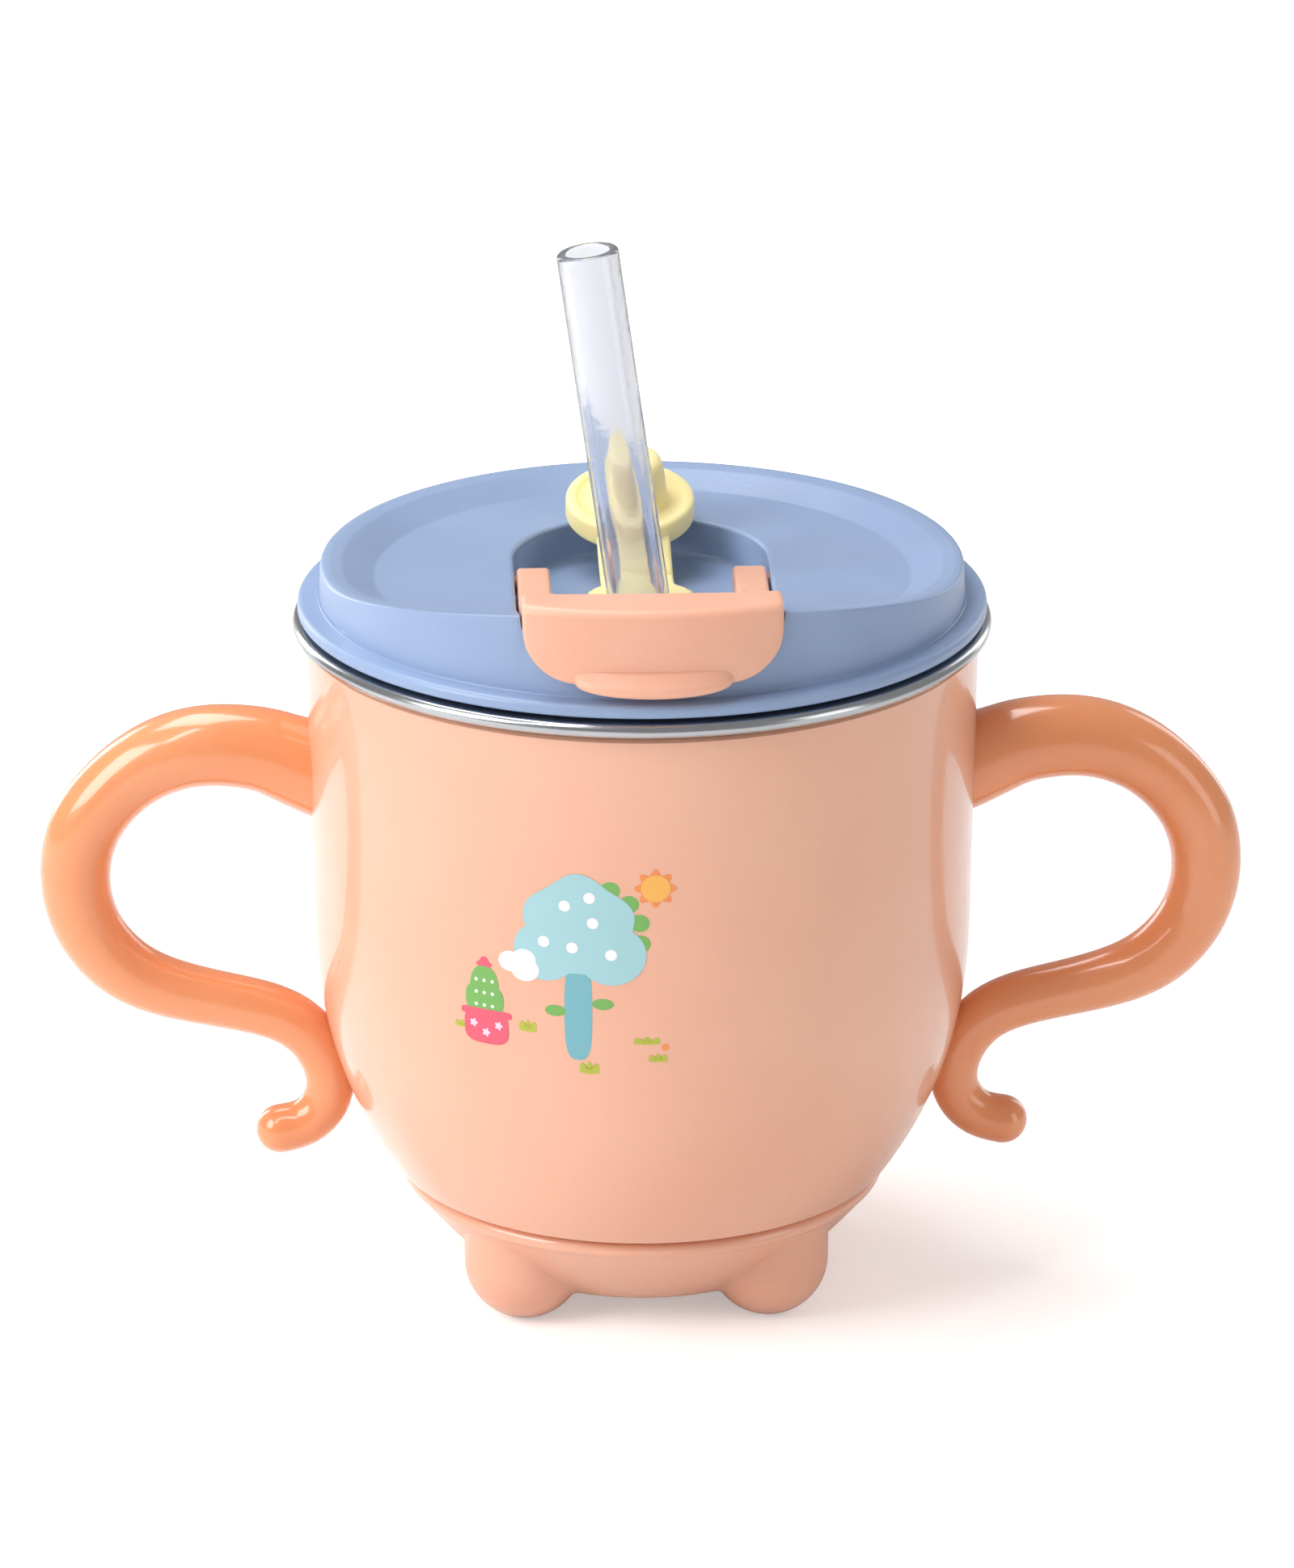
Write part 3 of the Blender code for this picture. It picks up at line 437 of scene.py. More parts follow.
@dataclass
class CupBody:
    """The shell, its base with four feet, the steel liner and the two handles."""

    shop: Workshop
    # The steel rim's height, radius and roll.
    rim_top: float = 87.5
    rim_radius: float = 43.0
    rim_bead: float = 0.9
    # The shell: straight above the waist, and falling inwards from there to the seam.
    shell_top: float = 85.2
    wall: float = 2.2
    waist: float = 52.0
    waist_radius: float = 41.0
    flare: float = 0.45
    drop: float = 9.9
    power: float = 2.6
    seam: float = 15.8
    shell_gap: float = 0.1
    shell_lip: float = 0.4
    shell_edge: float = 0.6
    # The liner. Its neck is where its outer and its inner face meet the rolled rim.
    liner_radius: float = 38.95
    liner_wall: float = 0.6
    liner_floor: float = 18.0
    liner_neck: tuple[float, float] = (40.8, 41.2)
    # The base: its flat underside, its bead under the seam and its spigot inside the shell.
    underside: float = 3.9
    flat_radius: float = 20.5
    bead: float = 1.0
    bead_inset: float = 0.75
    bead_drop: float = 0.5
    bowl_power: float = 1.2
    bowl_end: float = 1.02
    spigot: float = 28.5
    spigot_rise: float = 3.2
    # The feet. The root is how far a foot runs inwards and upwards, hidden in the base.
    foot_radius: float = 7.5
    foot_flat: float = 1.6
    foot_offset: float = 15.2
    foot_fillet: float = 0.9
    foot_root: tuple[float, float] = (2.5, 1.0)
    foot_guess: float = 5.0
    foot_rounds: int = 8
    # How often the handles' route is eased, and the sections that its root takes to turn.
    handle_easing: int = 12
    handle_root: int = 14

    # Where the liner bends on its way down outside and up inside: (radius, height, rounding).
    LINER_OUTSIDE = ((38.5, 52.0, 20.0), (36.2, 35.0, 12.0), (31.0, 22.0, 7.0), (19.0, 18.0, 8.0))
    LINER_INSIDE = ((18.8, 18.6, 8.0), (30.5, 22.5, 7.0), (35.6, 35.2, 12.0), (37.9, 52.0, 20.0))
    # Knots of the right handle's middle line, from its root to its free end: (x, z, bar's radius).
    HANDLE = (
        (39.6, 66.7, 6.15), (41.3, 67.4, 5.85), (44.5, 68.8, 5.45), (47.8, 69.9, 5.25), (53.4, 70.4, 5.1),
        (58.6, 69.4, 4.9), (63.5, 66.7, 4.6), (67.5, 62.6, 4.5), (69.8, 58.3, 4.5), (70.6, 53.5, 4.4),
        (70.1, 49.2, 4.3), (68.5, 45.2, 4.2), (65.5, 41.5, 4.1), (61.8, 39.1, 3.9), (57.5, 37.6, 3.7),
        (52.5, 36.4, 3.55), (47.4, 35.2, 3.5), (43.3, 33.3, 3.4), (40.5, 30.1, 3.3), (39.2, 26.1, 3.1),
        (39.8, 22.4, 3.0), (42.3, 19.7, 3.0), (45.6, 18.85, 3.1),
    )

    def radius(self, z: np.ndarray | float) -> np.ndarray:
        """Outer radius of the shell.

        It tapers slightly and straight above the waist. Below, it falls with the 2.6th power of
        the way down to the seam.

        Args:
            z: one height or many.

        Returns:
            The radius at each height.
        """
        z = np.asarray(z, float)
        high = self.waist_radius + self.flare * (z - self.waist) / (self.shell_top - self.waist)
        fall = np.clip((self.waist - z) / (self.waist - self.seam), 0, None)
        return np.where(z >= self.waist, high, self.waist_radius - self.drop * fall**self.power)

    def build(self) -> None:
        """Builds every piece of the body."""
        self.build_shell()
        self.build_liner()
        self.build_base()
        for side, name in ((-1, "left"), (1, "right")):
            self.build_handle(side, name)

    def build_shell(self) -> None:
        """Turns the shell: its outer curve, a rounded lower edge and a wall inside."""
        foot, soft = self.seam + self.shell_gap, self.shell_lip
        z = np.linspace(self.shell_top - soft, foot + self.shell_edge, 90)
        outside = np.stack([self.radius(z), z], 1)
        low, head = float(self.radius(self.seam)), outside[0, 0]
        edge = fillet_path([(*outside[-1], 0), (low, foot, self.shell_edge), (low - self.wall, foot, 0)])[1:]
        inside = np.stack([self.radius(z[::-6]) - self.wall, z[::-6]], 1)
        lip = [(head - self.wall + soft, self.shell_top), (head - soft, self.shell_top)]
        rings = turned(np.vstack([outside, edge, inside, lip]), 256)
        self.shop.piece("shell_wall", loft(rings, closed=True), PEACH_ABS, "cup", "body_plastic",
                        ("outer_shell",))

    def build_liner(self) -> None:
        """Turns the liner with its rolled rim."""
        bead_r, bead_z = self.rim_radius - self.rim_bead, self.rim_top - self.rim_bead
        a = np.radians(np.linspace(90, -165, 22))
        roll = np.stack([bead_r + self.rim_bead * np.cos(a), bead_z + self.rim_bead * np.sin(a)], 1)
        top, t = self.liner_radius, self.liner_wall
        outer = fillet_path([(self.liner_neck[0], self.rim_top - t, 0), (top, self.rim_top - t, 0.8),
                             *self.LINER_OUTSIDE, (POLE, self.liner_floor, 0)])
        inner = fillet_path([(POLE, self.liner_floor + t, 0), *self.LINER_INSIDE,
                             (top - t, self.rim_top, 1.4), (self.liner_neck[1], self.rim_top, 0)])
        rings = turned(np.vstack([roll, outer, inner]), 256)
        self.shop.piece("liner_wall", loft(rings, closed=True), STEEL, "cup", "steel", ("steel_liner",))

    def base_height(self, r: np.ndarray) -> np.ndarray:
        """Height of the base's outer face.

        It is flat, then a bowl that climbs with the way outwards to the power of 1.2, up to the
        crease under the bead.

        Args:
            r: distances from the cup's axis.

        Returns:
            The height at each distance.
        """
        way = self.bead_foot[0] - self.flat_radius
        share = np.clip((np.asarray(r, float) - self.flat_radius) / way, 0, self.bowl_end)
        return self.underside + (self.bead_foot[1] - self.underside) * share**self.bowl_power

    @property
    def bead_centre(self) -> tuple[float, float]:
        """Centre of the round bead at the top of the base, as (r, z)."""
        return float(self.radius(self.seam)) - self.bead_inset - self.bead, self.base_top - self.bead

    @property
    def base_top(self) -> float:
        """Top of the base's bead, a little below the seam."""
        return self.seam - self.bead_drop

    @property
    def bead_foot(self) -> tuple[float, float]:
        """Where the bead ends and the bowl starts, 60 degrees below the bead's widest place."""
        r, z = self.bead_centre
        return r + 0.5 * self.bead, z - 0.87 * self.bead

    def build_base(self) -> None:
        """Turns the base's cover, with its bead, and sets a foot on each of its four corners."""
        r, z = self.bead_centre
        a = np.radians(np.linspace(90, -60, 14))
        bead = np.stack([r + self.bead * np.cos(a), z + self.bead * np.sin(a)], 1)
        out = np.linspace(self.bead_foot[0], self.flat_radius + 0.6, 24)[1:]
        bowl = np.stack([out, self.base_height(out)], 1)
        top, head_z = self.base_top, self.base_top + self.spigot_rise
        head = fillet_path([(POLE, head_z, 0), (self.spigot, head_z, 0.5), (self.spigot, top, 0)])
        foot = fillet_path([(*bowl[-1], 0), (self.flat_radius, self.underside, 1.2),
                            (POLE, self.underside, 0)])
        rings = turned(np.vstack([head, bead, bowl, foot[1:]]), 256)
        self.shop.piece("base_plate", loft(rings), PEACH_ABS, "cup", "body_plastic", ("base_cover",))
        for x in (-1, 1):
            for y in (-1, 1):
                name = f"foot_{'front' if y < 0 else 'back'}_{'left' if x < 0 else 'right'}"
                self.build_foot(name, x * self.foot_offset, y * self.foot_offset)

    def build_foot(self, name: str, x: float, y: float) -> None:
        """A round post with a domed end, flared where it meets the base.

        Each column of the grid climbs from the end to the base's face, whose height there is found
        in a few rounds. Its radius is the dome's at that height, and near the base it grows by a
        quarter circle.

        Args:
            name: the piece's name.
            x: place of the foot's axis.
            y: place of the foot's axis.
        """
        a = np.linspace(0, 2 * np.pi, 72, endpoint=False)
        centre = math.sqrt(self.foot_radius**2 - self.foot_flat**2)

        def dome(z: np.ndarray) -> np.ndarray:
            """Radius of the post at a height, before it flares."""
            return np.sqrt(self.foot_radius**2 - np.clip(centre - z, 0, None) ** 2)

        end = np.full(len(a), self.foot_guess)
        for _ in range(self.foot_rounds):
            reach = dome(end) + self.foot_fillet
            end = self.base_height(np.hypot(x + reach * np.cos(a), y + reach * np.sin(a)))
        share = np.concatenate([1 - np.cos(np.linspace(0, np.pi / 2, 22)), [1.0]])[:22, None]
        z = end[None] * share
        near = np.clip((z - end + self.foot_fillet) / self.foot_fillet, 0, 1)
        radius = dome(z) + self.foot_fillet * (1 - np.sqrt(1 - near**2))
        inward, upward = self.foot_root
        z = np.vstack([np.zeros((1, len(a))), z, z[-1:] + upward])
        radius = np.vstack([np.full((1, len(a)), POLE), radius, radius[-1:] - inward])
        rings = np.stack([x + radius * np.cos(a), y + radius * np.sin(a), z], -1)
        self.shop.piece(name, loft(rings), PEACH_ABS, "cup", "body_plastic")

    def build_handle(self, side: int, name: str) -> None:
        """Carries a circle along the handle's route and rounds its free end.

        The route is eased by moving each point towards the mean of its neighbours. The first
        sections turn from upright, which keeps the root inside the shell's wall, to square with it.

        Args:
            side: -1 for the left handle and 1 for the right one.
            name: which handle it is.
        """
        route = spline(np.array(self.HANDLE), 7)
        for _ in range(self.handle_easing):
            route[1:-1] = (route[:-2] + 2 * route[1:-1] + route[2:]) / 4
        path, radius = route[:, :2], route[:, 2]
        along = np.gradient(path, axis=0)
        along /= np.linalg.norm(along, axis=1)[:, None]
        freed = np.clip(np.arange(len(path)) / self.handle_root, 0, 1)[:, None]
        along = along * freed + np.array((1.0, 0.0)) * (1 - freed)
        along /= np.linalg.norm(along, axis=1)[:, None]
        tip = np.radians(np.linspace(0, 88, 9))[1:, None]
        ball = path[-1] + along[-1] * radius[-1] * np.sin(tip)
        path = np.vstack([path, ball])
        radius = np.concatenate([radius, radius[-1] * np.cos(tip[:, 0])])
        along = np.vstack([along, np.repeat(along[-1:], len(tip), 0)])
        a = np.linspace(0, 2 * np.pi, 48, endpoint=False)
        across = radius[:, None] * np.cos(a)
        x = path[:, :1] - along[:, 1:] * across
        z = path[:, 1:] + along[:, :1] * across
        y = radius[:, None] * np.sin(a)
        rings = np.stack([side * x, y, z], -1)
        self.shop.piece(f"{name}_grip", loft(rings), ORANGE_ABS, "cup", "handle_plastic", (f"{name}_handle",))


# ---------------------------------------------------------------- the lid


@dataclass
class Lid:
    """The press-in lid with its drinking lip, and its recess for the straw and the clasp."""

    shop: Workshop
    # The flange, the outer wall, the plate and the rim round it.
    flange_radius: float = 42.4
    flange_bottom: float = 88.1
    flange_top: float = 89.7
    wall_foot: float = 39.8
    wall_head: float = 39.5
    plate: float = 92.2
    rim: float = 94.2
    # The drinking lip, which rises from here forwards.
    lip_start: float = -8.0
    lip_rise: float = 5.9
    lip_blend: float = 22.0
    # The recess, the clasp's channel through the lip, and the straw's port.
    half_width: float = 15.7
    back: float = 22.2
    front: float = -22.0
    depth: float = 5.0
    channel: float = 3.0
    straw_y: float = -4.5
    port: float = 5.9
    # The skirt, with the groove for the seal ring.
    skirt: float = 37.45
    skirt_bottom: float = 81.0
    skirt_inside: float = 34.3
    groove: tuple[float, float] = (84.4, 86.8)
    groove_radius: float = 36.2
    # How the lip and the plate climb, and where the plate's flat part ends.
    lip_power: float = 1.5
    plate_share: float = 0.75
    plate_thick: float = 2.0
    plate_edge: float = 30.6
    # The outer wall widens downwards.
    wall_offset: float = 0.06
    wall_draft: float = 0.24
    # Where the clasp's bar lies over the channel, and how the channel gets shallower there.
    bar_start: float = -33.0
    bar_ease: float = 4.0
    bar_share: float = 0.5
    # The channel's side stands between these distances from the recess's side.
    notch_wall: tuple[float, float] = (0.25, 0.9)
    # Rounding of the recess's floor and of its upper edge.
    cove: float = 0.8
    edge: float = 0.55
    # The plate's underside, and the pocket that the recess makes below it.
    ceiling_radius: float = 36.6
    pocket_wall: float = 2.4
    pocket_floor: float = 1.6

    def rise(self, y: np.ndarray) -> np.ndarray:
        """How far the edge has risen towards the lip: grows with the 1.5th power of the way forward."""
        way = np.clip(self.lip_start - y, 0, None) / (self.wall_head + self.lip_start)
        return self.lip_rise * way**self.lip_power

    def plate_level(self, y: np.ndarray) -> np.ndarray:
        """Height of the plate, which climbs to nearly the height of the lip's edge."""
        step = self.plate_share * (self.rim - self.plate)
        return self.plate + self.rise(y) + step * smooth((self.lip_start - y) / self.lip_blend)

    def channel_depth(self, y: np.ndarray) -> np.ndarray:
        """Depth of the clasp's channel, which eases to half of it under the clasp's bar."""
        return self.channel * (1 - self.bar_share * smooth((self.bar_start - y) / self.bar_ease))

    def outline(self) -> tuple[np.ndarray, np.ndarray]:
        """The recess's outline, anticlockwise from its front left corner.

        Returns:
            The points, and which of them lie on the front edge.
        """
        w, cy = self.half_width, self.back - self.half_width
        near, far = self.notch_wall
        x = np.concatenate([[-w, -w + near], np.linspace(-w + far, w - far, 50), [w - near]])
        front = np.stack([x, np.full(len(x), self.front)], 1)
        y = np.linspace(self.front, cy, 44, endpoint=False)
        right = np.stack([np.full(len(y), w), y], 1)
        a = np.linspace(0, np.pi, 110)
        arc = np.stack([w * np.cos(a), cy + w * np.sin(a)], 1)
        left = np.stack([np.full(len(y) - 1, -w), y[:0:-1]], 1)
        points = np.vstack([front, right, arc, left])
        return points, np.arange(len(points)) < len(front)

    def circle(self, radius: float) -> np.ndarray:
        """Points on a circle that pair with the outline's points.

        In front they keep the outline's x. Elsewhere their angle is a straight-line map of the
        outline's angle, so that the first and last meet the front ones.

        Args:
            radius: the circle's radius.

        Returns:
            An (n, 2) array.
        """
        points, front = self.outline()
        x = points[:, 0]
        here = np.arctan2(points[:, 1], x)
        here = np.where(here < -np.pi / 2, here + 2 * np.pi, here)
        start = math.atan2(self.front, self.half_width)
        corner = -math.acos(self.half_width / radius)
        angle = corner + (here - start) * (np.pi - 2 * corner) / (np.pi - 2 * start)
        back = radius * np.stack([np.cos(angle), np.sin(angle)], 1)
        ahead = np.stack([x, -np.sqrt(radius**2 - x**2)], 1)
        return np.where(front[:, None], ahead, back)

    def grown(self, by: float) -> np.ndarray:
        """The outline moved outwards, or inwards where by is negative.

        Moved inwards, points that would pass a front corner stay on it.

        Args:
            by: the distance.

        Returns:
            An (n, 2) array.
        """
        points, _ = self.outline()
        ahead = np.roll(points, -1, 0) - np.roll(points, 1, 0)
        normal = np.stack([ahead[:, 1], -ahead[:, 0]], 1)
        normal /= np.linalg.norm(normal, axis=1)[:, None]
        on_front = np.abs(points[:, 1] - self.front) < TINY
        corner = on_front & (np.abs(np.abs(points[:, 0]) - self.half_width) < TINY)
        normal[corner] = np.stack([np.sign(points[corner, 0]), -np.ones(corner.sum())], 1)
        made = points + by * normal
        if by < 0:
            made[:, 0] = np.clip(made[:, 0], -self.half_width - by, self.half_width + by)
            made[:, 1] = np.maximum(made[:, 1], self.front - by)
        return made

    def build(self) -> None:
        """Builds the lid and dresses its seal."""
        inner, front = self.outline()
        notch = front & (np.abs(inner[:, 0]) < self.half_width - self.notch_wall[0] / 2)
        floor = self.plate - self.depth
        rings: list[np.ndarray] = []

        def ring(flat: np.ndarray, level: np.ndarray | float, cut: bool = False) -> None:
            """Adds a ring.

            Args:
                flat: its points, seen from above.
                level: its height.
                cut: whether it drops into the clasp's channel where it crosses it.
            """
            z = np.broadcast_to(level, len(flat)).astype(float).copy()
            if cut:
                z = np.where(notch, z - self.channel_depth(flat[:, 1]), z)
            rings.append(np.column_stack([flat, z]))

        centre = np.array((0.0, self.straw_y))
        away = inner - centre
        port = centre + self.port * away / np.linalg.norm(away, axis=1)[:, None]
        ring(port, floor)
        cove, edge = self.cove, self.edge
        for share in (0.02, 0.5):
            ring(port + (self.grown(-cove) - port) * share, floor)
        for a in np.radians(np.linspace(0, 90, 5)):
            ring(self.grown(-cove * (1 - math.sin(a))), floor + cove * (1 - math.cos(a)))
        for a in np.radians(np.linspace(0, 90, 6)):
            flat = self.grown(edge * (1 - math.cos(a)))
            ring(flat, self.plate_level(flat[:, 1]) - edge * (1 - math.sin(a)), cut=True)
        for share in np.linspace(0.03, 1, 9):
            flat = self.grown(edge) * (1 - share) + self.circle(self.plate_edge) * share
            ring(flat, self.plate_level(flat[:, 1]), cut=True)
        for radius, step in self.crest():
            flat = self.circle(radius)
            low, high = self.plate_level(flat[:, 1]), self.rim + self.rise(flat[:, 1])
            if step >= 0:
                ring(flat, low + (high - low) * step, cut=True)
            else:
                level = self.flange_top + (low - self.flange_top) * (1 + step)
                drop = self.channel_depth(flat[:, 1]) * (1 + step)
                ring(flat, np.where(notch, level - drop, level))
        for radius, level in self.underneath():
            ring(self.circle(radius), level)
        under, wall = floor - self.pocket_floor, self.grown(self.pocket_wall)
        for share in (0.4, 0.8, 1.0):
            ring(self.circle(self.ceiling_radius) * (1 - share) + wall * share, self.ceiling)
        ring(wall, under)
        ring(wall * 0.96 + centre * 0.04, under)
        ring(port, under)
        self.shop.piece("lid_shell", loft(np.array(rings), closed=True), BLUE_PP, "lid", "lid_plastic",
                        ("lid_body",), sharp=55)
        self.shop.repaint("lid_seal_ring", SEAL_SILICONE)

    @property
    def ceiling(self) -> float:
        """Height of the plate's underside."""
        return self.plate - self.plate_thick

    def crest(self) -> list[tuple[float, float]]:
        """The rim's section, then the wall below it.

        Returns:
            (radius, share) points. The share is 0 at the plate, 1 at the rim and -1 at the flange.
        """
        outer = self.wall_head + self.wall_offset
        path = fillet_path([(31.0, 0.0, 0), (33.0, 0.0, 1.3), (36.9, 1.82, 2.0), (38.4, 2.02, 1.0),
                            (self.wall_head + 0.02, 1.95, 1.1), (outer, 0.0, 0)], steps=7)
        upper = [(r, h / (self.rim - self.plate)) for r, h in path]
        wall = [(outer - self.wall_draft * s, s) for s in (-0.15, -0.35, -0.55, -0.75, -0.88)]
        return upper + wall

    def underneath(self) -> list[tuple[float, float]]:
        """The flange, the skirt with its seal groove and the inside.

        Returns:
            (radius, height) points.
        """
        top, low, skirt, inside = self.flange_top, self.flange_bottom, self.skirt, self.skirt_inside
        groove_low, groove_high = self.groove
        path = fillet_path([(self.wall_foot, top + 0.4, 0), (self.wall_foot + 0.02, top, 0.35),
                            (self.flange_radius, top, 0.7), (self.flange_radius, low, 0.4), (skirt, low, 0.3),
                            (skirt, groove_high, 0), (self.groove_radius, groove_high, 0),
                            (self.groove_radius, groove_low, 0), (skirt, groove_low, 0),
                            (skirt, self.skirt_bottom, 0.6), (inside, self.skirt_bottom, 0.6),
                            (inside, low, 1.0), (37.0, 89.6, 0.5), (37.0, self.ceiling, 0)], steps=4)
        return [(float(r), float(z)) for r, z in path]


# ---------------------------------------------------------------- clasp


@dataclass
class Clasp:
    """The flip clasp: two arms hinged in the recess, a bar over the lip and a thumb tab."""

    shop: Workshop
    lid: Lid
    # The bar, and its skirt in front of the lip.
    top: float = 101.15
    bottom: float = 91.9
    bar_back: float = -34.0
    bar_thickness: float = 2.6
    inside: float = 40.4
    wall: float = 1.4
    half_width: float = 15.4
    # The arms, the skirt's lower corners and the hinge.
    arm_width: float = 4.1
    arm_end: float = 2.1
    corner: float = 6.2
    hinge_y: float = 2.4
    hinge_z: float = 89.9
    # The thumb tab.
    tab_half: float = 9.2
    tab_reach: float = 2.4
    tab_top: float = 93.9
    tab_bottom: float = 90.9
    tab_root: float = 0.2
    tab_power: float = 0.65
    tab_ends: float = 0.45
    # Rounding of the bar's ends and of the arms' edges.
    soft: float = 0.55
    # How far the arms run into the bar, and how they fall to the recess.
    arm_sunk: float = 2.4
    arm_flat: float = 2.0
    arm_power: float = 1.6
    arm_proud: float = 0.02
    arm_dip: float = 0.5
    arm_dip_run: tuple[float, float] = (0.3, 1.6)
    # The arms' lower edge: its rise in the recess, and its step over the lip.
    arm_lift: float = 0.6
    arm_step: float = -17.0
    arm_ease: float = 4.0
    channel_gap: float = 0.9
    # The pins of the hinge.
    pin_radius: float = 1.2
    pin_length: float = 3.5
    pin_chamfer: float = 0.3
    pin_sunk: float = 2.0

    def build(self) -> None:
        """Builds the clasp's pieces."""
        self.build_bar()
        self.build_tab()
        for side, name in ((-1, "left"), (1, "right")):
            self.build_arm(side, name)
            self.build_trunnion(side, name)
        self.shop.repaint("sip_plug", SEAL_SILICONE)

    def build_bar(self) -> None:
        """The bar and its skirt: one bent section carried across the clasp.

        Each section is the rounded hook of bar and skirt. Its front follows a circle about the
        cup's axis. Towards the ends the skirt's lower edge climbs a quarter circle, which rounds
        the lower corners, and the last half millimetre draws in to round the ends.
        """
        back = self.bar_back
        face = self.inside + self.wall
        under = self.top - self.bar_thickness
        hook = fillet_path([(back, self.top, 0.7), (-face, self.top, 1.3), (-face, self.bottom, 0.6),
                            (-self.inside, self.bottom, 0.5), (-self.inside, under, 0.6),
                            (back, under, 0.6)], closed=True, steps=7)
        w, r, soft = self.half_width, self.corner, self.soft
        ends = np.radians(np.linspace(90, 0, 7))
        reach = np.concatenate([w - soft + soft * np.sin(ends), np.linspace(w - soft, w - r, 16)[1:]])
        inset = np.concatenate([soft * (1 - np.cos(ends)), np.zeros(15)])
        x = np.concatenate([-reach, np.linspace(-(w - r), w - r, 30)[1:-1], reach[::-1]])
        inset = np.concatenate([inset, np.zeros(28), inset[::-1]])[:, None]
        over = np.clip(np.abs(x) - (w - r), 0, r)
        low = (self.bottom + r - np.sqrt(r**2 - over**2))[:, None]
        y, z = hook[:, 0][None], hook[:, 1][None]
        z = np.where(z < under, low + (z - self.bottom) * (under - low) / (under - self.bottom), z + 0 * low)
        bend = np.clip((back - y) / (back + self.inside), 0, 1)
        y = y + bend * (np.abs(y) - np.sqrt(y**2 - np.minimum(np.abs(x), w)[:, None] ** 2))
        mid_y = y.mean(1, keepdims=True)
        mid_z = (z.max(1, keepdims=True) + np.maximum(z.min(1, keepdims=True), under)) / 2
        y = y + np.clip(mid_y - y, -1, 1) * inset
        z = z + np.clip(mid_z - z, -1, 1) * inset
        rings = np.stack([np.repeat(x[:, None], y.shape[1], 1), y, z], -1)
        self.shop.piece("clasp_bar", loft(rings), PEACH_PP, "clasp", "clasp_plastic", ("clasp_frame",))

    def build_tab(self) -> None:
        """The thumb tab: a crescent whose reach falls to nothing at both ends like an ellipse."""
        spread = math.asin(self.tab_half / self.inside)
        t = np.sin(np.linspace(-np.pi / 2, np.pi / 2, 61) * 0.999)
        shrink = np.sqrt(1 - t**2) ** self.tab_power
        section = fillet_path([(0.0, 0.0, 0), (0.0, 1.0, 0), (0.45, 0.93, 0.18), (1.0, 0.42, 0.3),
                               (0.86, 0.0, 0.3)], closed=True, steps=7)
        start = self.inside + self.tab_root
        depth = (self.wall - self.tab_root + self.tab_reach) * shrink
        tall = (self.tab_top - self.tab_bottom) * (self.tab_ends + (1 - self.tab_ends) * shrink)
        radius = start + section[:, 0][None] * depth[:, None]
        z = self.tab_top - tall[:, None] + section[:, 1][None] * tall[:, None]
        angle = (-np.pi / 2 + t * spread)[:, None]
        rings = np.stack([radius * np.cos(angle), radius * np.sin(angle), z], -1)
        self.shop.piece("clasp_tab", loft(rings), PEACH_PP, "clasp", "clasp_plastic")

    def arm_levels(self, y: np.ndarray) -> tuple[np.ndarray, np.ndarray]:
        """Lower and upper edge of an arm, ahead of its rounded hinge end.

        The upper edge falls from the bar's top with the 1.6th power of the way back. The lower
        one lies level in the recess, and follows the channel over the lip.

        Args:
            y: places along the arm.

        Returns:
            The lower and the upper height at each place.
        """
        flat, low = self.hinge_z + self.arm_end, self.hinge_z - self.arm_end
        way = self.lid.lip_start + self.arm_flat - self.bar_back
        t = np.clip((y - self.bar_back) / way, 0, 1)
        upper = flat + (self.top - flat) * (1 - t) ** self.arm_power + self.arm_proud
        start, run = self.arm_dip_run
        upper = upper - self.arm_dip * smooth((self.bar_back - start - y) / run)
        channel = self.lid.plate_level(y) - self.lid.channel_depth(y) + self.channel_gap
        near = low + self.arm_lift * np.clip((self.hinge_y - y) / (self.hinge_y - self.arm_step), 0, 1)
        step = smooth((self.arm_step - y) / self.arm_ease)
        return near * (1 - step) + np.maximum(channel, near) * step, upper

    def build_arm(self, side: int, name: str) -> None:
        """Carries a rounded rectangle along the arm, and ends it in a half round at the hinge.

        Args:
            side: -1 for the left arm and 1 for the right one.
            name: which arm it is.
        """
        y = np.linspace(self.bar_back - self.arm_sunk, self.hinge_y, 70)
        low, high = self.arm_levels(y)
        a = np.radians(np.linspace(0, 86, 10))[1:]
        y = np.concatenate([y, self.hinge_y + self.arm_end * np.sin(a)])
        low = np.concatenate([low, self.hinge_z - self.arm_end * np.cos(a)])
        high = np.concatenate([high, self.hinge_z + self.arm_end * np.cos(a)])
        half, soft = self.arm_width / 2, self.soft
        loop = fillet_path([(-half, -1, soft), (half, -1, soft), (half, 1, soft), (-half, 1, soft)],
                           closed=True)
        tall = np.maximum((high - low) / 2, 0.05)[:, None]
        v = loop[:, 1][None]
        corners, flanks = np.sign(v) * (tall - 1 + np.abs(v)), v / (1 - soft) * (tall - soft)
        rounded = np.where(np.abs(v) > 1 - soft, corners, flanks)
        rounded = np.where(tall > soft, rounded, v * tall)
        z = ((low + high) / 2)[:, None] + rounded
        x = side * (self.half_width - half) + loop[:, 0][None] + 0 * z
        rings = np.stack([x, np.repeat(y[:, None], len(loop), 1), z], -1)
        self.shop.piece(f"clasp_arm_{name}", loft(rings), PEACH_PP, "clasp", "clasp_plastic", sharp=50)

